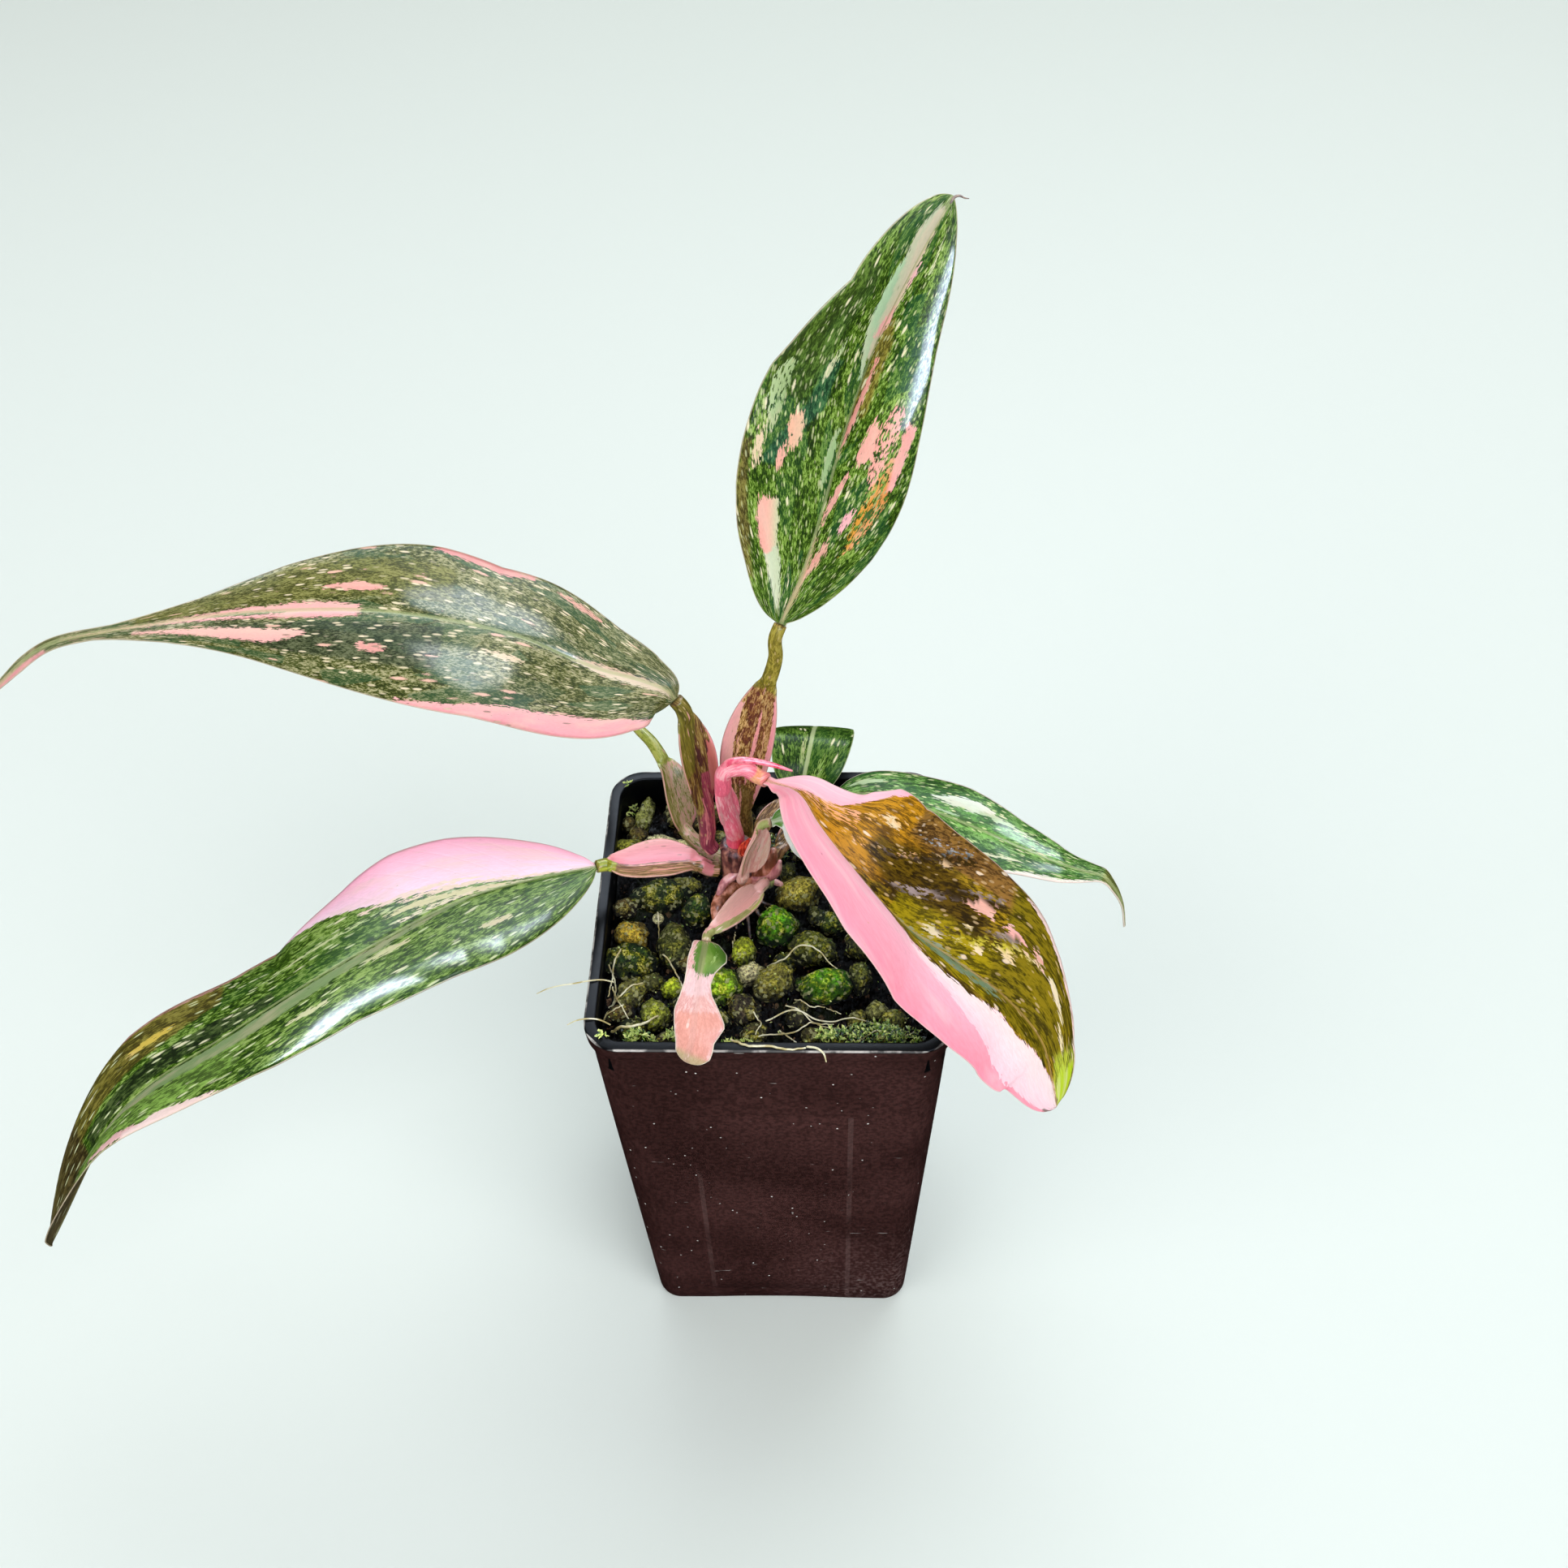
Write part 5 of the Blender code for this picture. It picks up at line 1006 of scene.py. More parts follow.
def makeStalk(name, spec, blade):
    m = stalkMesh
    gap = m["gap"]
    start, tangent = along(blade["mid"], np.array([0.0]))
    base, lead = start[0], tangent[0]
    rooted, topmost, last = m["straight"]  # lengths that run straight out of the stem and blade
    tail = [base - lead * (gap + last), base - lead * gap]
    if spec["root"] is None:  # the newest stalk grows from the top of the stem
        foot = np.array([*stem["axis"], stem["top"] + gap])
        head = [foot, foot + np.array([0, 0, topmost])]
    else:
        turn, lean = (math.radians(spec["root"][k]) for k in (0, 2))
        out = np.array([math.cos(turn), math.sin(turn), 0.0])
        away = stem["radius"] + gap + spec["radius"][0] * math.sin(lean)
        foot = np.array([*stem["axis"], spec["root"][1]]) + out * away
        out = out * math.cos(lean) + np.array([0, 0, math.sin(lean)])
        head = [foot, foot + out * rooted]
    points = head + [np.array(p, float) for p in spec["path"]] + tail
    length = curveThrough(points)[1][-1]
    t = np.linspace(0, 1, m["rows"])
    pos, face, right, tangent = frameAlong(points, spec["up"], t)
    radius = blend(spec["radius"], t)
    low, high = spec["span"]
    rising = np.clip((t - low) / (spec["peak"] - low), 0, 1)
    falling = np.clip((high - t) / (high - spec["peak"]), 0, 1)
    swell = np.where(t < spec["peak"], np.sin(math.pi / 2 * rising),
                     np.sqrt(np.sin(math.pi / 2 * falling)))
    width = np.maximum(radius, spec["half"] * swell)
    wing = np.clip((width - radius) / (radius * m["wing"]), 0, 1)  # 0 round stalk, 1 open sheath
    k = np.linspace(-1, 1, 2 * m["columns"] + 1)
    s = (np.sin(math.pi / 2 * np.abs(k))[None, :] * (1 - wing)[:, None]
         + np.abs(k)[None, :] * wing[:, None])
    fold = (math.radians(spec["open"]) * wing)[:, None]
    across, rise = halfSection(width[:, None], fold, fold * m["curl"], s)
    middle = (pos[:, None] + np.sign(k)[None, :, None] * right[:, None] * across[..., None]
              + face[:, None] * rise[..., None])
    core = np.sqrt(np.maximum(radius[:, None] ** 2 - (s * width[:, None]) ** 2, 0))
    thin = m["sheath"] / 2 * np.interp(np.abs(k), m["thinAt"], m["thin"])[None, :]
    upper = np.maximum(core * (1 - wing)[:, None], thin)
    lower = np.maximum(core, thin)
    widths = np.repeat(width[:, None], len(k), axis=1)
    streak = np.zeros((*widths.shape, 3))
    streak[..., 0] = np.sign(k)[None, :] * s * widths
    streak[..., 1] = t[:, None] * length
    streak[..., 2] = sum(ord(c) for c in name) * 0.53  # so no two stalks match
    fields = paintedFields(spec, t, k[None, :], widths, length, m["zoneSoft"])
    fields.update(streak=streak, rib=s * widths, vein=streak[..., 0] / m["veinStep"],
                  margin=(1 - np.abs(k))[None, :] * widths
                  + m["roundMargin"] * (1 - wing)[:, None])
    mat = leafSurface("stalkTissue_" + name, {**stalkLook, **spec["look"]})
    obj = sheetPiece("stalk_" + name, middle, upper, lower, tangent, fields, mat)
    return settle(obj, "stalk_" + name, "petiole_" + name)


for name, spec in stalks.items():
    makeStalk(name, {**bare, **spec}, leaves[name])
print("stalks made")

# Growing mix: wet dark soil under porous pebbles that algae has coloured. Waves: height, then
# the turns and shifts of the two sines that make it. Patterns are given as cells per millimetre.
mix = dict(top=142.5, drop=1.2, dropFrom=0.9, gap=0.3, grid=200, crumbs=0.6, seed=5, half=41.4,
           waves=(0.9, 0.6), mound=(1.2, 260), front=(1.8, 26, 16), crumbCells=0.7, cloud=0.4,
           algae=0.12, colours=("#020201", "#070402", "#180e08", "#7c6048"),
           algaeColour="#161e06", specular=0.04)

# The pot: thin moulded black plastic, satin, with dust and scuffs from handling, a painted
# highlight on the lip's outer edge, and painted shade inside above the mix and on the lip's top.
# Its patterns are given as cells per millimetre too.
pot = dict(height=152.0, baseHalf=38.0, rimHalf=44.5, wall=1.3, floor=2.2, band=5.0, out=0.7,
           lip=0.9, baseCorner=7.0, rimCorner=9.0, panelHalf=20.5, panelRise=0.35, ramp=0.8,
           panel=(9.0, 118.0), edge=0.5, foot=1.3, archHalf=23.0, arch=1.3, cornerSteps=12,
           panelSteps=11, panelRings=12, panelEnd=8.0, lipRim=1.2, under=(0.4, 0.35),
           drainCorner=(21.0, 4.5), drainSide=(25.0, 3.2), drainSides=28, drainDepth=6.0,
           sharpFrom=38, cornerCut=14.6, base=3.4, grain=0.9,
           cloud=0.03, specks=0.9, flakes=0.095, runs=0.26, scuffs=(0.12, 0.12, 0.9),
           colours=("#321c1a", "#412725"), rim="#08090b", dustAndHighlight="#e0dcd8", worn="#a08480",
           roughness=0.32, specular=0.07)


def wallHalf(z):
    return pot["baseHalf"] + (pot["rimHalf"] - pot["out"] - pot["baseHalf"]) * z / pot["height"]


def cornerAt(z):
    return pot["baseCorner"] + (pot["rimCorner"] - pot["baseCorner"]) * z / pot["height"]


def squareRing(half, corner, z, panel=0.0, arch=0.0):
    ring = []
    inner = pot["panelHalf"] - pot["ramp"]
    ys = [-pot["panelHalf"], -inner, *np.linspace(-inner, inner, pot["panelSteps"])[1:-1],
          inner, pot["panelHalf"]]
    for side in range(4):
        turn = side * math.pi / 2
        pts = [(half + (panel if abs(y) <= inner else 0), y) for y in ys]
        for k in range(pot["cornerSteps"] + 1):
            a = math.pi / 2 * k / pot["cornerSteps"]
            pts.append((half - corner + corner * math.cos(a),
                        half - corner + corner * math.sin(a)))
        for x, y in pts:
            lift = arch * math.cos(math.pi / 2 * min(abs(y) / pot["archHalf"], 1.0))
            ring.append((x * math.cos(turn) - y * math.sin(turn),
                         x * math.sin(turn) + y * math.cos(turn), z + lift))
    return ring


def lofted(rings):
    count = len(rings[0])
    verts = [p for ring in rings for p in ring]
    faces = []
    for i in range(len(rings) - 1):
        for j in range(count):
            k = (j + 1) % count
            faces.append((i * count + j, i * count + k, (i + 1) * count + k, (i + 1) * count + j))
    return verts, faces


def plasticSurface(p):
    # injection-moulded polypropylene: a satin skin, so only the rims catch thin highlights, and
    # the outer edge of the lip has a painted highlight as well
    mat, add, shader = newMaterial("mouldedPlastic")
    place = add("coordinates", out="Object")
    x, y, z = add("axes", place).node.outputs
    grain = add("noise", place, p["grain"] / mm, 3.0)
    cloud = add("noise", place, p["cloud"] / mm, 4.0)
    body = add("blend", add("smooth", cloud, 0.35, 0.7), *p["colours"])
    body = add("multiply", 1.0, body, add("smooth", grain, 0.36, 0.64, 0.72, 1.28))

    # handling wears the edges of the raised panel a little paler
    flats = [add("size", x), add("size", y)]
    line = add("near", add("least", *flats), (p["panelHalf"] - 0.4) * mm, 0.7 * mm)
    worn = add("times", line, add("smooth", cloud, 0.4, 0.6, 0.0, 0.09))
    worn = add("times", worn, add("below", z, p["panel"][1] * mm))
    body = add("blend", worn, body, p["worn"])

    # painted shade: the inside above the mix, and the top of the lip, are painted near black
    lipTop = add("smooth", z, (p["height"] - 0.8) * mm, (p["height"] - 0.3) * mm)
    corner = add("timesPlus", add("plus", *flats), math.sqrt(0.5), -p["cornerCut"] * mm)
    far = add("most", add("most", *flats), corner)
    inside = add("times", add("below", far, (p["rimHalf"] - 1.8) * mm),
                 add("above", z, (mix["top"] - 2.5) * mm))
    body = add("blend", add("most", lipTop, inside), body, p["rim"])

    # fine specks and a few flakes of dust, scuffs along the height, a film low on the right
    specks = add("cells", place, p["specks"] / mm)
    dice = add("split", specks.node.outputs["Color"])
    marks = add("times", add("smooth", specks, 0.3, 0.14), add("smooth", dice, 0.976, 0.998))
    flakes = add("cells", place, p["flakes"] / mm)
    dice = add("split", flakes.node.outputs["Color"], out="Green")
    flakes = add("times", add("smooth", flakes, 0.045, 0.03), add("smooth", dice, 0.94, 0.96))
    drawn = add("mapping", place, Rotation=(0.0, 0.6, 0.3), Scale=[k / mm for k in p["scuffs"]])
    scuffs = add("smooth", add("noise", drawn, 1.0, 2.0), 0.74, 0.78, 0.0, 0.35)
    low = add("times", add("smooth", x, -0.01, 0.045), add("smooth", z, 0.06, 0.0))
    film = add("times", add("times", add("smooth", grain, 0.45, 0.7), low), 0.08)
    # painted highlight: the outer edge of the lip is painted pale, in short broken runs
    outer = add("smooth", far, (p["rimHalf"] - 0.55) * mm, (p["rimHalf"] - 0.3) * mm)
    top = add("smooth", z, (p["height"] - 0.5) * mm, (p["height"] - 0.3) * mm)
    runs = add("smooth", add("noise", place, p["runs"] / mm, 3.0), 0.42, 0.62, 0.1, 0.7)
    edge = add("times", add("times", outer, top), runs)
    for layer in (flakes, scuffs, film, edge):
        marks = add("most", marks, layer)
    rough = add("timesPlus", marks, 0.4, add("timesPlus", grain, 0.16, p["roughness"]))
    feed(shader, {"Base Color": add("blend", marks, body, p["dustAndHighlight"]), "Roughness": rough,
                  "Normal": add("bump", Height=grain, Strength=0.12, Distance=0.0001),
                  "Specular IOR Level": p["specular"]})
    return mat


def makePot():
    p = pot
    rings = []

    def ring(level, z, out=0.0, corner=0.0, **shape):
        rings.append(squareRing(wallHalf(level) + out, cornerAt(level) + corner, z, **shape))

    top, lip = p["height"], p["height"] - p["band"]
    low, high = p["panel"]
    ring(0, 0, -p["foot"], -p["foot"], arch=p["arch"])
    rise, inset = p["under"]
    ring(0, rise, -inset, -inset, arch=p["arch"])
    ring(0, p["foot"], arch=p["arch"] * 0.8)
    for z in (low - 1, low):
        ring(z, z)
    levels = np.linspace(low + p["panelEnd"], high - p["panelEnd"], p["panelRings"])
    for z in (low + p["ramp"], *levels, high - p["ramp"]):
        ring(z, z, panel=p["panelRise"])
    for z in (high, high + 1):
        ring(z, z)
    for z, out in ((-0.3, -0.1), (0, 0.25), (0.25, p["out"] * 0.85), (0.8, p["out"])):
        ring(lip, lip + z, out)
    rim, corner, e = p["rimHalf"], p["rimCorner"], p["edge"]
    inset = p["wall"] + p["lip"]
    rings.append(squareRing(rim, corner, top - p["lipRim"]))
    for a in np.linspace(0, math.pi / 2, 4):
        out = e * math.cos(a) - e
        rings.append(squareRing(rim + out, corner + out, top - e + e * math.sin(a)))
    for a in np.linspace(0, math.pi / 2, 4):
        out = e - e * math.sin(a) - inset
        rings.append(squareRing(wallHalf(top) + out, corner + out, top - e + e * math.cos(a)))
    rings.append(squareRing(wallHalf(top) - inset, corner - inset, lip + p["lip"] + 1))
    ring(lip, lip, -p["wall"], -p["wall"])
    rings.append(squareRing(wallHalf(p["floor"]) - p["wall"], cornerAt(0) - p["wall"],
                            p["floor"]))
    verts, faces = lofted(rings)
    # the underside rises a little between the middle and the arched edge
    count, start = len(rings[0]), len(verts)
    verts += squareRing(wallHalf(0) - p["base"], cornerAt(0) - p["base"], 0)
    for j in range(count):
        k = (j + 1) % count
        faces.append((start + j, start + k, k, j))
    faces.append(tuple(range(start, start + count))[::-1])
    faces.append(tuple(range(start - count, start)))
    obj = makePiece("nurseryPot", verts, faces, plasticSurface(p))

    holes = bpy.data.collections.new("holes")
    bpy.context.scene.collection.children.link(holes)
    (cornerAway, cornerSize), (sideAway, sideSize) = p["drainCorner"], p["drainSide"]
    spots = [(x * cornerAway, y * cornerAway, cornerSize) for x in (-1, 1) for y in (-1, 1)]
    spots += [(x * sideAway, y * sideAway, sideSize)
              for x, y in ((1, 0), (-1, 0), (0, 1), (0, -1))]
    for x, y, radius in spots:
        bm = bmesh.new()
        bmesh.ops.create_cone(bm, cap_ends=True, segments=p["drainSides"],
                              radius1=radius * mm, radius2=radius * mm, depth=p["drainDepth"] * mm,
                              matrix=Matrix.Translation(Vector((x, y, 1)) * mm))
        mesh = bpy.data.meshes.new("hole")
        bm.to_mesh(mesh)
        bm.free()
        holes.objects.link(bpy.data.objects.new("hole", mesh))
    cut = obj.modifiers.new("drain", "BOOLEAN")
    cut.operand_type = "COLLECTION"
    cut.collection = holes
    cut.operation = "DIFFERENCE"
    graph = bpy.context.evaluated_depsgraph_get()
    mesh = bpy.data.meshes.new_from_object(obj.evaluated_get(graph))
    obj.modifiers.clear()
    obj.data = mesh
    for hole in list(holes.objects):
        bpy.data.objects.remove(hole)
    bpy.data.collections.remove(holes)
    mesh.set_sharp_from_angle(angle=math.radians(p["sharpFrom"]))
    return settle(obj, "black_plastic", "pot")


potPiece = makePot()
print("pot made")


def mixHeight(x, y):
    broad, small = mix["waves"]
    bumps = broad * math.sin(0.17 * x + 0.6) * math.sin(0.21 * y + 1.1)
    bumps += small * math.sin(0.43 * x - 0.31 * y)
    dx, dy = x - stem["axis"][0], y - stem["axis"][1]
    high, spread = mix["mound"]
    mound = high * math.exp(-(dx * dx + dy * dy) / spread)
    rise, start, width = mix["front"]
    return mix["top"] + bumps + mound + rise * max(0.0, (-y - start) / width)


def soilSurface(m):
    mat, add, shader = newMaterial("wetBarkSoil")  # damp crumbs: near black, with small glints
    place = add("coordinates", out="Object")
    crumbs = add("split", add("cells", place, m["crumbCells"] / mm, out="Color"))
    cloud = add("noise", place, m["cloud"] / mm, 5.0)
    pick = add("times", crumbs, cloud)
    colour = add("ramp", pick, stops=list(zip((0.15, 0.38, 0.5, 0.62), m["colours"])))
    green = add("smooth", add("noise", place, m["algae"] / mm, 4.0), 0.58, 0.66, 0.0, 0.6)
    feed(shader, {"Base Color": add("blend", green, colour, m["algaeColour"]),
                  "Roughness": add("smooth", cloud, 0.3, 0.7, 0.3, 0.8),
                  "Normal": add("bump", Height=pick, Strength=1.0, Distance=0.0012),
                  "Specular IOR Level": m["specular"]})
    return mat


def makeSoil(m):
    n = m["grid"]
    line = np.linspace(-1, 1, n)
    verts, faces = [], []
    top = pot["height"] - pot["band"] - 2 * m["gap"]
    inside = wallHalf(m["top"]) - pot["wall"] - m["gap"]
    corner = cornerAt(m["top"]) - pot["wall"]
    flat = inside - corner
    jitter = np.random.default_rng(m["seed"]).normal(0, m["crumbs"], (n, n))
    for i in range(n):
        for j in range(n):
            x, y = line[j] * inside, line[i] * inside
            over = math.hypot(max(abs(x) - flat, 0), max(abs(y) - flat, 0))
            if over > corner:  # pull the square grid's corners in to the round ones
                k = corner / over
                x, y = (math.copysign(flat + (abs(q) - flat) * k, q) if abs(q) > flat else q
                        for q in (x, y))
            edge = max(abs(line[i]), abs(line[j]))
            z = mixHeight(x, y) + jitter[i, j] * (edge < 0.98)
            z -= m["drop"] * max(0.0, (edge - m["dropFrom"]) / (1 - m["dropFrom"]))
            verts.append((x, y, min(z, top)))
    for i in range(n - 1):
        for a in range(i * n, i * n + n - 1):
            faces.append((a, a + 1, a + n + 1, a + n))
    ring = [*range(n)] + [i * n + n - 1 for i in range(1, n)]
    ring += [(n - 1) * n + j for j in range(n - 2, -1, -1)] + [i * n for i in range(n - 2, 0, -1)]
    low = pot["floor"] + m["gap"]
    share = (wallHalf(low) - pot["wall"] - m["gap"]) / inside
    start = len(verts)
    for a in ring:
        x, y, z = verts[a]
        verts.append((x * share, y * share, low))
    for k in range(len(ring)):
        e = (k + 1) % len(ring)
        faces.append((ring[e], ring[k], start + k, start + e))
    faces.append(tuple(range(start, start + len(ring)))[::-1])
    obj = makePiece("soil", verts, faces, soilSurface(m))
    return settle(obj, "growing_mix", "growing_mix")


soilPiece = makeSoil(mix)

# Pebbles seen from above, then the others by chance. For each: x, y, half width, half depth,
# half height, turn in degrees, tint and share of algae. Patterns are cells per millimetre.
pebbles = dict(
    seen=[
        (-35.8, 34.8, 2.2, 5.2, 3.4, -8, "#8a8c4a", 0.3),
        (-40.0, 33.0, 1.6, 2.2, 2.0, 0, "#6a5c30", 0.3),
        (-39.0, 23.4, 4.0, 2.6, 2.6, 0, "#8c8c34", 0.5),
        (-37.2, 28.4, 2.4, 2.6, 2.2, 20, "#5c4c2c", 0.3),
        (-31.2, 26.4, 4.6, 2.2, 1.3, -10, "#d8cfa4", 0.05),
        (-25.5, 24.5, 3.4, 2.4, 1.4, 15, "#cfc492", 0.1),
        (-23.7, 11.4, 5.0, 2.4, 2.4, 0, "#7e7c3c", 0.5),
        (-29.0, 7.6, 7.0, 4.2, 3.8, 8, "#2c3a1c", 0.8),
        (-38.6, 3.2, 2.9, 2.6, 2.4, 10, "#57482c", 0.3),
        (-19.6, 2.6, 3.4, 4.0, 3.4, 0, "#2f4a1c", 0.9),
        (-36.2, -4.6, 4.4, 3.4, 3.2, -30, "#d0b040", 0.35),
        (-35.4, -13.0, 6.6, 4.2, 3.8, -8, "#263c18", 0.9),
        (-24.8, -7.6, 3.8, 6.4, 4.0, 6, "#5c6034", 0.5),
        (-24.3, -21.4, 2.6, 2.4, 2.4, 0, "#c0d434", 0.9),
        (-28.2, -29.6, 3.4, 3.8, 3.0, 20, "#a4ac40", 0.7),
        (0.9, -2.8, 5.0, 4.6, 4.6, -10, "#64b01c", 1.0),
        (6.4, 7.4, 5.6, 4.6, 4.4, 20, "#a49440", 0.6),
        (3.6, 15.8, 2.2, 2.8, 2.8, 0, "#4a4c2c", 0.5),
        (-7.2, -10.4, 2.8, 3.8, 3.2, 0, "#c4d440", 0.8),
        (-5.4, -16.8, 3.4, 2.8, 2.6, 30, "#d4cc9c", 0.3),
        (-11.8, -20.4, 4.2, 4.4, 3.6, 0, "#8cb824", 1.0),
        (0.6, -19.6, 5.0, 4.4, 3.6, 15, "#8c8440", 0.6),
        (10.5, -9.4, 5.6, 4.6, 4.0, 0, "#585c24", 0.7),
        (13.6, -20.6, 6.6, 4.8, 4.6, 6, "#5ca01c", 1.0),
        (22.4, -18.2, 2.4, 4.0, 3.2, 0, "#5c6030", 0.6),
        (15.6, -1.8, 3.4, 3.0, 3.2, 0, "#30421c", 0.8),
        (26.4, -27.4, 2.6, 2.4, 2.4, 0, "#8a8a50", 0.4),
        (30.4, -30.0, 3.0, 2.6, 2.4, 10, "#6c6c34", 0.6),
        (-13.8, 16.4, 2.6, 2.2, 2.4, 0, "#4c4a2c", 0.5),
        (-30.0, -18.6, 3.0, 2.4, 2.2, 0, "#5a5a2c", 0.6),
        (23.6, -8.6, 4.6, 3.8, 3.4, 0, "#3c3a24", 0.5),
        (32.0, -12.0, 4.8, 4.0, 3.6, 10, "#4c4a2c", 0.5),
        (-16.4, -32.6, 3.0, 2.6, 2.4, 0, "#6c7430", 0.7),
        (36.4, -22.0, 3.4, 3.6, 3.0, 0, "#5c5a34", 0.5),
    ],
    bead=(-29.3, -1.6, 3.2, 1.5, "#d8d4a4"),
    fill=44, tries=5000, size=(2.4, 5.2), seed=23, lift=0.35, clear=6.5, spacing=0.78, grow=1.1,
    shapes=((0.9, 1.1), (0.7, 0.95), (0.6, 0.8)), fillAlgae=(0.1, 0.7), tilt=0.25,
    lumps=((1.2, 0.26), (3.0, 0.16), (8.0, 0.07)), pores=1.5, cloud=0.33, pits=1.9, glints=1.2,
    tints=("#544c2c", "#2e281a", "#604c2c", "#74703a", "#40342a", "#262c16"),
    film=("#050801", "#222c04", "#667608", "#c4c028", "#fcf4a0"), glint="#c8c890", specular=0.08)


def pebbleSurface(p):
    # porous pumice under a wet green film: matt in the pores and wet on the tops; painted
    # light and shade keep the tops bright and the sides and hollows dark
    mat, add, shader = newMaterial("algaeOnPumice")
    place = add("coordinates", out="Object")
    tint = add("field", attribute_name="tint", out="Color")
    pores = add("noise", place, p["pores"] / mm, 5.0, 0.7)
    cloud = add("noise", place, p["cloud"] / mm, 4.0)
    pits = add("cells", place, p["pits"] / mm)
    colour = add("multiply", 1.0, tint, add("smooth", pores, 0.36, 0.64, 0.2, 1.9))
    blot = add("plus", add("times", cloud, 0.55), add("times", pores, 0.45))
    film = add("ramp", blot, stops=list(zip((0.39, 0.46, 0.51, 0.56, 0.62), p["film"])))
    film = add("blend", 0.45, film, add("overlay", 1.0, film, tint))
    # the film is darkened by the painted shade kept in the tint's alpha
    dim = add("smooth", tint.node.outputs["Alpha"], 0.0, 1.0, 0.06, 1.3)
    film = add("multiply", 1.0, film, dim)
    mask = add("times", add("smooth", pores, 0.4, 0.56, 0.2, 1.0),
               add("field", attribute_name="algae", out="Fac"))
    colour = add("blend", mask, colour, film)
    # painted glints: small pale spots put into the colour
    glints = add("cells", place, p["glints"] / mm, out="Color")
    glints = add("smooth", add("split", glints, out="Green"), 0.86, 0.9)
    colour = add("blend", add("times", glints, 0.6), colour, p["glint"])
    height = add("times", pores, add("smooth", pits, 0.0, 0.5, 0.6, 1.0))
    feed(shader, {"Base Color": colour, "Roughness": add("smooth", cloud, 0.5, 0.58, 0.75, 0.2),
                  "Normal": add("bump", Height=height, Strength=1.0, Distance=0.0009),
                  "Specular IOR Level": p["specular"]})
    return mat


def makePebbles(p):
    rng = random.Random(p["seed"])
    stones = list(p["seen"])
    tries = 0
    while len(stones) < len(p["seen"]) + p["fill"] and tries < p["tries"]:
        tries += 1
        size = rng.uniform(*p["size"])
        x, y = (rng.uniform(-1, 1) * (mix["half"] - size * 1.15) for _ in range(2))
        if math.hypot(x - stem["axis"][0], y - stem["axis"][1]) < p["clear"] + size:
            continue
        if any(math.hypot(x - q[0], y - q[1]) < p["spacing"] * (size + max(q[2], q[3]))
               for q in stones):
            continue
        stones.append((x, y, *[size * rng.uniform(*span) for span in p["shapes"]],
                       rng.uniform(0, 180), rng.choice(p["tints"]),
                       rng.uniform(*p["fillAlgae"])))
    verts, faces, tints, algae = [], [], [], []

    def ball(detail, radius):
        # Adds the faces of a ball and returns its points, for the caller to place.
        bm = bmesh.new()
        bmesh.ops.create_icosphere(bm, subdivisions=detail, radius=radius)
        faces.extend(tuple(len(verts) + v.index for v in f.verts) for f in bm.faces)
        points = [v.co.copy() for v in bm.verts]
        bm.free()
        return points

    for x, y, a, b, c, turn, code, green in stones:
        seed = Vector([rng.uniform(0, 50) for _ in range(3)])
        spin = Matrix.Rotation(math.radians(turn), 3, "Z") @ Matrix.Rotation(
            rng.uniform(-p["tilt"], p["tilt"]), 3, "X")
        lift = mixHeight(x, y) + c * p["lift"]
        colour = toLinear(code)
        for n in ball(4, 1.0):
            bumps = [noise.noise(n * times + seed * (k + 1))
                     for k, (times, _) in enumerate(p["lumps"])]
            r = p["grow"] * (1 + sum(bump * high for bump, (_, high) in zip(bumps, p["lumps"])))
            q = spin @ Vector((n.x * a * r, n.y * b * r, n.z * c * r))
            verts.append((x + q.x, y + q.y, lift + q.z))
            # painted light and shade: tops pale, sides and hollows dark; algae keeps to the upper
            # lumps
            shade = max(0.03, 0.03 + 1.45 * max(0.0, n.z) ** 1.5 + 1.1 * bumps[2])
            tints.append((*(k * shade for k in colour), min(1.0, shade)))
            algae.append(green * min(1.0, max(0.05, 0.42 + 0.4 * n.z + 1.8 * bumps[1])))
    x, y, above, radius, code = p["bead"]
    for n in ball(3, radius):
        verts.append((x + n.x, y + n.y, mixHeight(x, y) + above + n.z * 0.9))
        tints.append((*toLinear(code), 1))
        algae.append(0.0)
    obj = makePiece("pebbles", verts, faces, pebbleSurface(p))
    setField(obj, "tint", tints)
    setField(obj, "algae", algae)
    return settle(obj, "growing_mix")


pebblePiece = makePebbles(pebbles)
print("soil and pebbles made")


def heightTree(objects):
    verts, faces = [], []
    for obj in objects:
        start = len(verts)
        verts += [v.co / mm for v in obj.data.vertices]
        faces += [tuple(start + k for k in f.vertices) for f in obj.data.polygons]
    return BVHTree.FromPolygons(verts, faces)


ground = heightTree([soilPiece, pebblePiece, potPiece])


def groundAt(x, y, above=158.0):
    hit = ground.ray_cast(Vector((x, y, above)), Vector((0, 0, -1)))[0]
    return hit.z if hit else mixHeight(x, y)


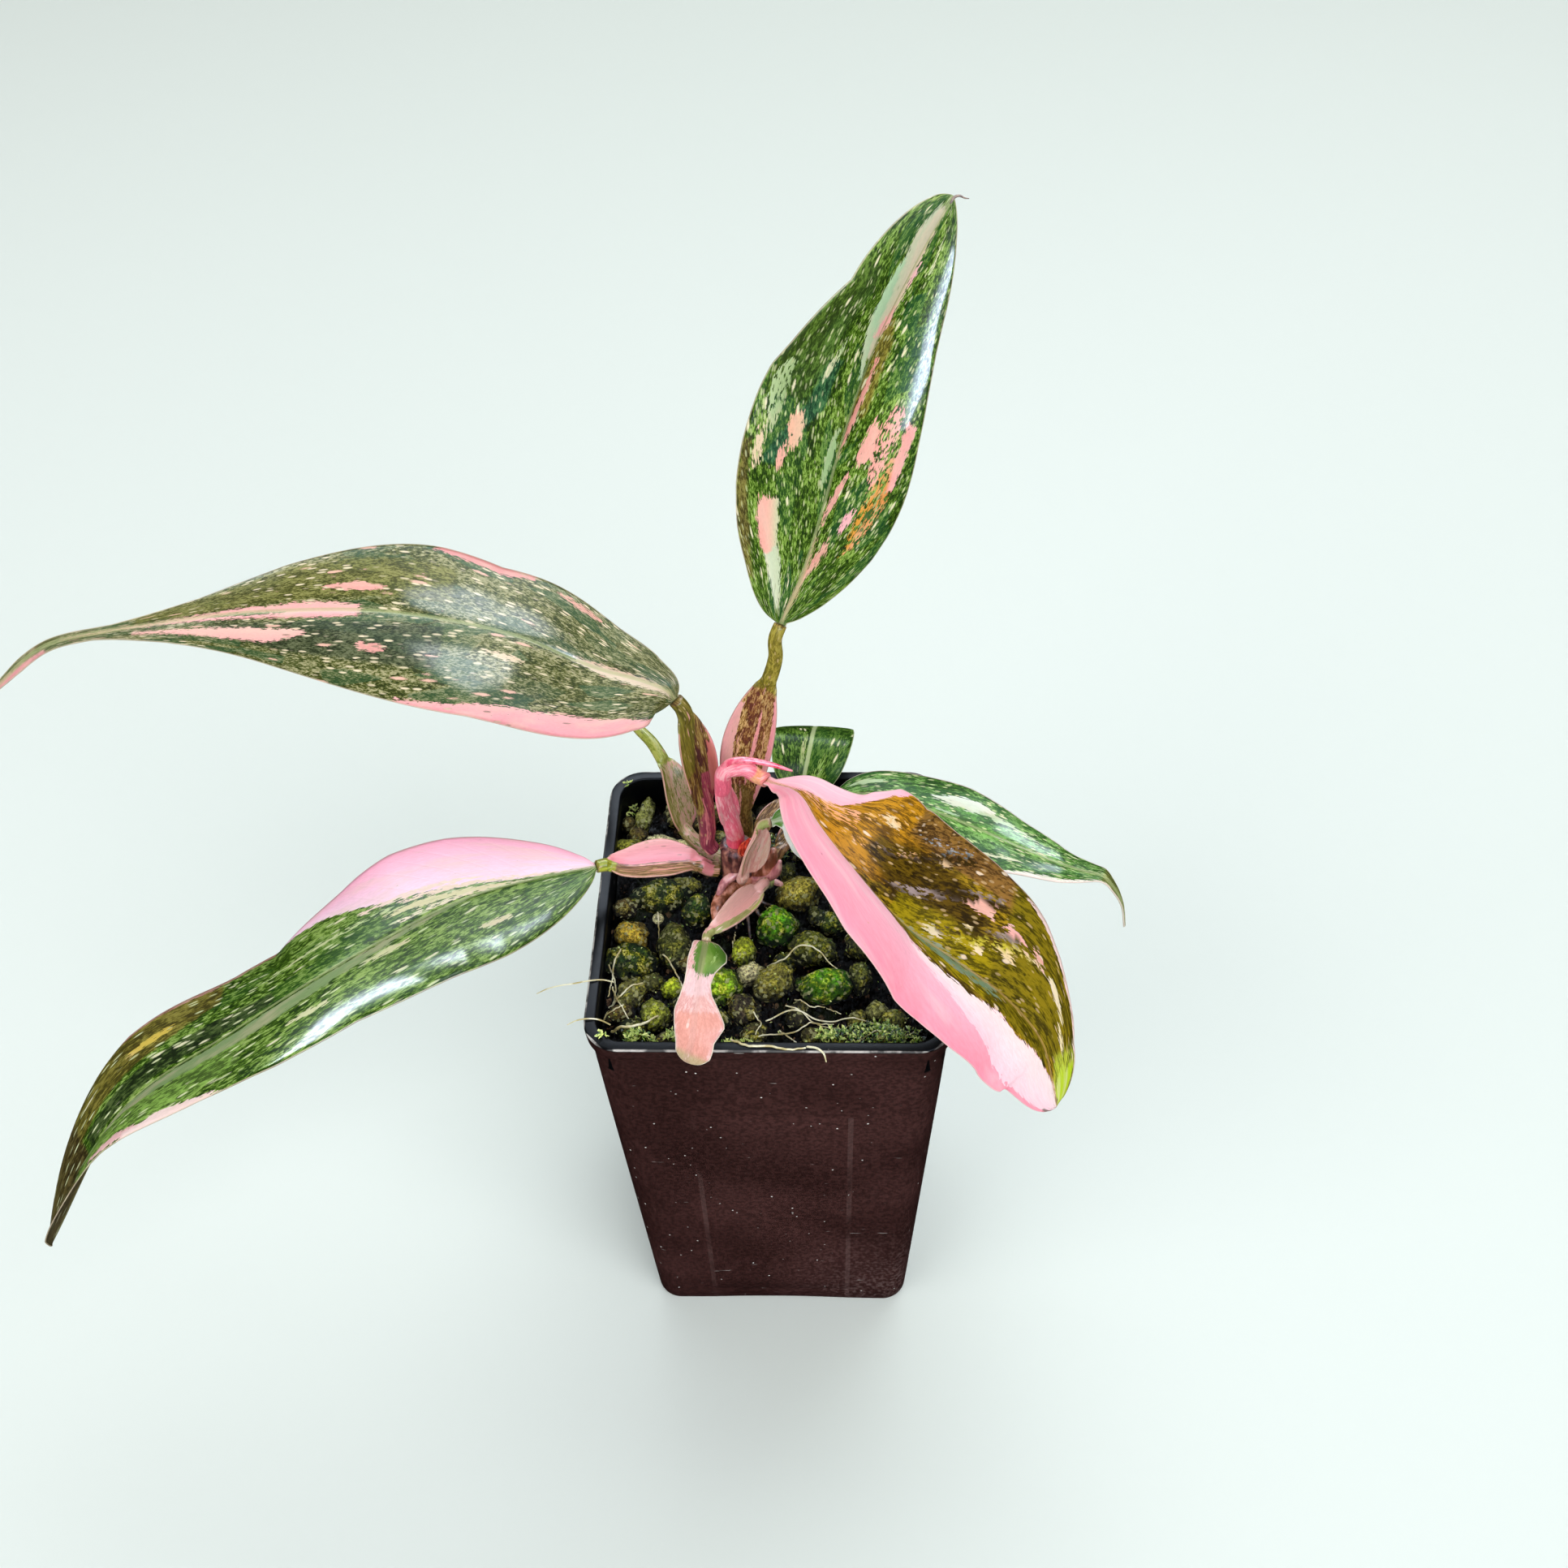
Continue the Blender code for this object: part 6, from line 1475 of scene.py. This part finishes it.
# Moss: tufts of small leaflets, grey-green with bright grains. For each clump: x, y, two radii,
# height, count and how bright.
moss = dict(
    clumps=[(24.5, -36.2, 8.6, 5.4, 2.6, 620, 0.35), (32.5, -36.5, 5.0, 4.4, 2.0, 260, 0.3),
            (8.0, -39.4, 2.4, 1.8, 1.8, 130, 0.9), (-7.2, -39.8, 6.2, 2.6, 1.6, 420, 0.8),
            (-35.2, -40.0, 5.6, 2.2, 1.3, 300, 0.8), (14.0, -36.6, 3.0, 2.4, 1.2, 120, 0.6),
            (-31.0, -38.0, 4.0, 2.6, 1.6, 180, 0.6), (-40.2, 38.5, 2.0, 2.6, 1.2, 80, 0.8),
            (0.4, 23.0, 4.0, 3.0, 1.4, 160, 0.2), (36.0, 30.0, 5.0, 5.0, 1.6, 160, 0.5),
            (-22.0, -36.5, 3.2, 2.4, 1.4, 150, 0.7), (20.0, 33.0, 4.0, 4.0, 1.2, 120, 0.5)],
    leaf=(0.9, 1.9), width=0.34, thick=0.12, sink=0.25, seed=7, stray=420, strayHalf=40,
    spread=0.8, upright=(0.3, 1.0), widths=(0.6, 1.3), glowSpread=0.3, cloud=0.7,
    colours=("#14220a", "#44740e", "#88ac30", "#e4f088"))


def mossSurface(m):
    mat, add, shader = newMaterial("mossLeaflets")  # thin leaflets, soft sheen, no gloss
    cloud = add("noise", add("coordinates", out="Object"), m["cloud"] / mm, 2.0)
    pick = add("timesPlus", cloud, 0.4, add("field", attribute_name="bright", out="Fac"))
    colour = add("ramp", pick, stops=list(zip((0.2, 0.42, 0.62, 0.95), m["colours"])))
    feed(shader, {"Base Color": colour, "Roughness": add("smooth", cloud, 0.3, 0.7, 0.5, 0.8)})
    return mat


def makeMoss(m):
    rng = random.Random(m["seed"])
    verts, faces, bright, spots = [], [], [], []
    for x, y, rx, ry, high, count, glow in m["clumps"]:
        for _ in range(count):
            a, r = rng.uniform(0, 2 * math.pi), math.sqrt(rng.random())
            px, py = x + rx * r * math.cos(a), y + ry * r * math.sin(a)
            if max(abs(px), abs(py)) > mix["half"] - 0.8:
                continue
            dome = high * math.sqrt(max(0.0, 1 - r * r)) * rng.uniform(0.35, 1.0)
            spots.append((px, py, dome, glow))
    for _ in range(m["stray"]):
        px, py = (rng.uniform(-m["strayHalf"], m["strayHalf"]) for _ in range(2))
        spots.append((px, py, 0.0, rng.uniform(0.1, 0.7)))
    for px, py, dome, glow in spots:
        base = Vector((px, py, groundAt(px, py) + dome - m["sink"]))
        lean = Vector((rng.gauss(0, m["spread"]), rng.gauss(0, m["spread"]),
                       rng.uniform(*m["upright"]))).normalized()
        side = lean.cross(Vector([rng.gauss(0, 1) for _ in range(3)]))
        side = side.normalized() * m["width"] * rng.uniform(*m["widths"])
        long = rng.uniform(*m["leaf"]) * (0.6 if dome == 0 else 1.0)
        thick = lean.cross(side).normalized() * m["thick"]
        start = len(verts)
        tip = base + lean * long + Vector((0, 0, -0.2))
        middle = base + lean * long * 0.5
        verts += [base, middle + side, tip, middle - side, middle + thick, middle - thick]
        for a, b in ((0, 1), (1, 2), (2, 3), (3, 0)):
            faces += [(start + a, start + b, start + 4), (start + b, start + a, start + 5)]
        shine = min(1.0, max(0.0, rng.gauss(glow, m["glowSpread"])))
        bright += [shine * 0.5, shine, min(1, shine * 1.2), shine, shine, shine]
    obj = makePiece("moss", [tuple(v) for v in verts], faces, mossSurface(m), smooth=False)
    setField(obj, "bright", bright)
    return settle(obj, "growing_mix")


makeMoss(moss)


tubeEnds = ((0.7, 0.35), (0.35, 0.8))  # beyond each end: how far in radii, and how wide


def tubePiece(name, runs, mat, sides=10, wobble=0.0):
    # Closed tapering tubes through points, joined in one mesh: (points, radii) for each.
    rng = random.Random(1)
    verts, faces = [], []
    for points, radii in runs:
        total = curveThrough(points, 6)[1][-1]
        count = max(6, int(total / max(min(radii) * 0.8, 0.35)))
        t = np.linspace(0, 1, count)
        pos, tangent = along(points, t)
        radius = blend(radii, t)
        side = np.cross(tangent[0], (0.3, 0.2, 1.0))
        if np.linalg.norm(side) < 1e-3:
            side = np.array([1.0, 0, 0])
        rings = []
        steps = ([(0, -out, share) for out, share in tubeEnds] + [(k, 0, 1) for k in range(count)]
                 + [(count - 1, out, share) for out, share in reversed(tubeEnds)])
        for k, out, share in steps:
            side = side - tangent[k] * np.dot(side, tangent[k])
            side /= np.linalg.norm(side)
            other = np.cross(tangent[k], side)
            r = radius[k] * share * (1 + rng.uniform(-wobble, wobble))
            centre = pos[k] + tangent[k] * out * radius[k]
            rings.append([tuple(centre + r * (side * math.cos(a) + other * math.sin(a)))
                          for a in np.linspace(0, 2 * math.pi, sides, endpoint=False)])
        more, quads = lofted(rings)
        start = len(verts)
        verts += more
        faces += [tuple(start + i for i in q) for q in quads]
        last = len(verts) - sides
        faces.append(tuple(range(start, start + sides))[::-1])
        faces.append(tuple(range(last, last + sides)))
    return makePiece(name, verts, faces, mat)


# Thin pale roots lying over the pebbles and the rim: (radius, points seen from above).
roots = dict(
    runs=[
        (0.22, [(-1.0, -13.8), (3.1, -13.3), (6.1, -11.3), (10.2, -11.3), (13.6, -14),
                (17, -17.7)]),
        (0.2, [(-29.5, 0.5), (-29.1, -3.3), (-29.1, -5.9)]),
        (0.22, [(-27.6, -12.2), (-24.3, -15.9), (-21.7, -22.0)]),
        (0.22, [(-37.9, -12.3), (-40.0, -17.7), (-40.6, -23.3)]),
        (0.22, [(-39.8, -20.2), (-37.6, -26.0), (-34.2, -32.1)]),
        (0.24, [(-40.3, -25.7), (-37.6, -24.6), (-34.4, -22.1), (-31.5, -20.8)]),
        (0.36, [(-38.5, -34.4), (-33.0, -34.9), (-29.7, -33.2), (-26.9, -31.3)]),
        (0.2, [(-9.6, -3.3), (-9.9, -9.6)]),
        (0.3, [(-8.8, -41.2), (-4.9, -42.9), (0.9, -43.1), (4.2, -43.9), (9.5, -43.5)]),
        (0.2, [(-2.4, -36.5), (2.0, -34.6), (6.4, -34.2), (11.0, -32.0), (16.2, -31.3)]),
        (0.2, [(2.4, -33.0), (5.4, -36.0), (8.4, -38.8)]),
        (0.2, [(-1.0, -31.0), (5.0, -29.5), (12.0, -31.0), (19.0, -30.0), (27.0, -31.5)]),
        (0.18, [(4.0, -27.6), (9.0, -30.6), (15.0, -33.2), (20.4, -36.0)]),
        (0.18, [(-4.0, -29.0), (-2.0, -32.4), (-3.4, -36.6)]),
        (0.2, [(-41.0, -15.0), (-39.0, -19.4), (-39.6, -27.0), (-41.0, -31.0)]),
        (0.18, [(-36.0, -27.4), (-38.6, -29.0), (-41.6, -29.6)]),
        (0.18, [(20.0, -38.4), (25.0, -35.0), (31.0, -36.4), (36.0, -33.4)]),
        (0.18, [(6.0, -24.0), (9.6, -27.0), (13.4, -26.4), (17.8, -28.0)]),
    ],
    free=[  # with heights, over the rim and past it
        (0.2, [(-38.6, -23.2, 149.6), (-41.4, -24.2, 152.0), (-44.4, -24.9, 152.5),
               (-48.2, -25.2, 151.7), (-51.2, -25.9, 151.9), (-54.4, -26.4, 151.2),
               (-57.1, -26.9, 149.8)]),
        (0.2, [(-38.4, -35.2, 149.0), (-41.4, -35.6, 152.0), (-44.2, -35.9, 152.5),
               (-46.4, -36.0, 151.8), (-48.5, -36.4, 150.6)]),
        (0.28, [(9.4, -43.4, 152.6), (11.6, -43.9, 152.8), (13.2, -45.0, 152.4),
                (13.9, -46.4, 150.8)]),
    ],
    colours=("#ece8c4", "#c0b070"), cloud=0.3, stray=0.12, seed=3)


def rootSurface(r):
    mat, add, shader = newMaterial("freshRoot")  # smooth pale skin, slightly damp
    cloud = add("noise", add("coordinates", out="Object"), r["cloud"] / mm, 2.0)
    feed(shader, {"Base Color": add("blend", add("smooth", cloud, 0.4, 0.62), *r["colours"]),
                  "Roughness": add("smooth", cloud, 0.3, 0.7, 0.35, 0.5)})
    return mat


def makeRoots(r):
    rng = random.Random(r["seed"])
    runs = []
    for radius, points in r["runs"]:
        flat = [(x, y, 0) for x, y in points]
        dense = along(flat, np.linspace(0, 1, 40))[0]
        heights = np.array([groundAt(x, y) for x, y, _ in dense])
        lifted = np.array([heights[max(0, k - 2):k + 3].max() for k in range(len(dense))])
        lifted = np.convolve(np.pad(lifted, 3, mode="edge"), np.ones(7) / 7, mode="valid")
        lifted = np.maximum(lifted, heights) + radius * 0.8
        path = [(x + rng.uniform(-r["stray"], r["stray"]),
                 y + rng.uniform(-r["stray"], r["stray"]), z)
                for (x, y, _), z in zip(dense[::2], lifted[::2])]
        runs.append((path, (radius, radius, radius * 0.7)))
    runs += [(points, (radius, radius, radius * 0.6)) for radius, points in r["free"]]
    obj = tubePiece("roots", runs, rootSurface(r), sides=7)
    return settle(obj, "growing_mix")


makeRoots(roots)
print("moss and roots made")


# What grows on the stem: skin from dark to light, roughness, relief, wobble, then (points, radii)
# of each tapering part. Living skin is smoother and shinier where it is young.
crown = dict(
    petioleStubs=(("#8a4c30", "#d08468", "#f0b09c"), 0.45, 0.3, 0.02, [
        ([(-5.6, 8.2, 153.5), (-2.0, 7.2, 155.6), (-0.4, 6.8, 160.0), (0.6, 6.6, 164.6)],
         (1.7, 1.6, 1.9, 0.9)),
        ([(-6.4, 6.2, 153.0), (-12.0, 3.2, 151.6), (-14.2, 0.0, 149.8), (-14.2, -4.4, 147.6)],
         (1.7, 1.9, 1.6, 0.7))]),
    pinkShoots=(("#c47880", "#eca4a8", "#f8c4bc"), 0.4, 0.1, 0.0, [
        ([(-5.6, 7.0, 153.0), (-0.6, 5.6, 155.0), (1.4, 5.0, 158.6), (2.2, 4.8, 162.4)],
         (1.0, 1.1, 1.3, 0.5)),
        ([(-8.6, 5.2, 157.0), (-11.8, 3.6, 155.6), (-13.6, 2.2, 152.2)], (1.1, 1.2, 0.8)),
        ([(-0.6, 6.9, 151.8), (0.9, 6.8, 151.2), (2.2, 6.6, 150.6)], (0.9, 0.9, 0.7))]),
    mossyKnob=(("#3a3a14", "#7a7c30", "#b0b458"), 0.75, 0.5, 0.06, [
        ([(-5.4, 8.2, 149.6), (-3.0, 7.6, 150.6), (-0.6, 7.0, 151.6)], (1.3, 1.5, 1.9))]),
    redBud=(("#8a1c0c", "#e0442c", "#f48858"), 0.32, 0.05, 0.0, [
        ([(-7.4, 6.6, 163.6), (-6.2, 5.0, 167.0), (-5.0, 4.4, 171.4)], (1.3, 1.9, 0.5))]),
    newLeafSpike=(("#e85070", "#f47890", "#f890a0"), 0.3, 0.05, 0.0, [
        ([(-10.2, 2.0, 200.6), (-8.6, 1.4, 203.2), (-5.6, 1.0, 204.4), (-2.4, 1.0, 203.9),
          (1.6, 1.0, 202.6), (5.9, 1.0, 200.6)], (0.8, 0.8, 0.75, 0.6, 0.25))]),
    aerialRoots=(("#20140c", "#4a3020", "#7a5a40"), 0.6, 0.5, 0.1, [
        ([(-7.0, 5.0, 148.5), (-4.0, 1.0, 146.6), (-1.6, -2.4, 145.0)], (0.6, 0.5, 0.35)),
        ([(-8.0, 4.6, 148.5), (-6.4, -0.6, 146.4), (-5.6, -6.0, 144.6)], (0.5, 0.45, 0.3)),
        ([(-9.4, 4.6, 148.0), (-9.6, 0.6, 146.0), (-9.2, -3.0, 144.8)], (0.5, 0.4, 0.3)),
        ([(-5.6, 6.0, 149.0), (-2.4, 3.6, 147.0), (0.4, 3.2, 145.6)], (0.5, 0.45, 0.3)),
        ([(-11.6, 5.4, 148.6), (-14.0, 3.0, 146.4), (-16.2, 1.0, 145.0)], (0.5, 0.4, 0.3))]))
leafTip = dict(  # dried drip tip of the upright leaf
    skin=("#4a3424", "#7c6250", "#a89078"),
    runs=[([(39.4, 61.2, 308.8), (40.4, 61.8, 309.9), (41.2, 61.8, 310.1), (42.4, 61.7, 309.6),
            (43.2, 61.5, 309.6)], (0.4, 0.3, 0.22, 0.1))])
bark = dict(lines=0.9, cloud=0.26, rough=0.55, relief=0.5)  # patterns in cells per millimetre


def barkSurface(name, codes, rough=bark["rough"], relief=bark["relief"]):
    mat, add, shader = newMaterial(name)
    place = add("coordinates", out="Object")
    drawn = add("mapping", place, Scale=(1.0, 1.0, 0.3))  # lines run up the part
    lines = add("noise", drawn, bark["lines"] / mm, 4.0)
    pick = add("plus", lines, add("noise", place, bark["cloud"] / mm, 3.0))
    colour = add("ramp", add("smooth", pick, 0.7, 1.35),
                 stops=list(zip((0.15, 0.5, 0.85), codes)))
    feed(shader, {"Base Color": colour,
                  "Roughness": add("smooth", lines, 0.3, 0.7, rough - 0.12, rough + 0.15),
                  "Normal": add("bump", Height=lines, Strength=relief, Distance=0.0004)})
    return mat


def makeStem():
    m = stem
    rings = []
    rng = random.Random(m["seed"])
    x, y = m["axis"]
    for z in np.linspace(m["bottom"], m["top"], m["levels"]):
        end = min(1.0, 0.75 + 0.3 * min(z - m["bottom"], m["top"] - z))
        scar = max(0.0, math.cos(2 * math.pi * (z - 150) / m["scars"])) ** 6
        r = m["radius"] * min(end * (1 + m["scarRise"] * scar), 1.04)
        rings.append([(x + r * (1 + rng.uniform(-m["rough"], m["rough"])) * math.cos(a),
                       y + r * (1 + rng.uniform(-m["rough"], m["rough"])) * math.sin(a), z)
                      for a in np.linspace(0, 2 * math.pi, m["sides"], endpoint=False)])
    verts, faces = lofted(rings)
    faces.append(tuple(range(m["sides"]))[::-1])
    faces.append(tuple(range(len(verts) - m["sides"], len(verts))))
    obj = makePiece("stemBark", verts, faces, barkSurface("scarredStem", m["skin"]))
    settle(obj, "stem_bark", "stem")
    for name, (codes, rough, relief, wobble, runs) in crown.items():
        skin = barkSurface(name + "Skin", codes, rough, relief)
        settle(tubePiece(name, runs, skin, sides=16, wobble=wobble), "stem_bark")
    dry = barkSurface("driedTip", leafTip["skin"])
    settle(tubePiece("leafTipHook", leafTip["runs"], dry, sides=8), "leaf_upright")


makeStem()
print("stem and crown made")
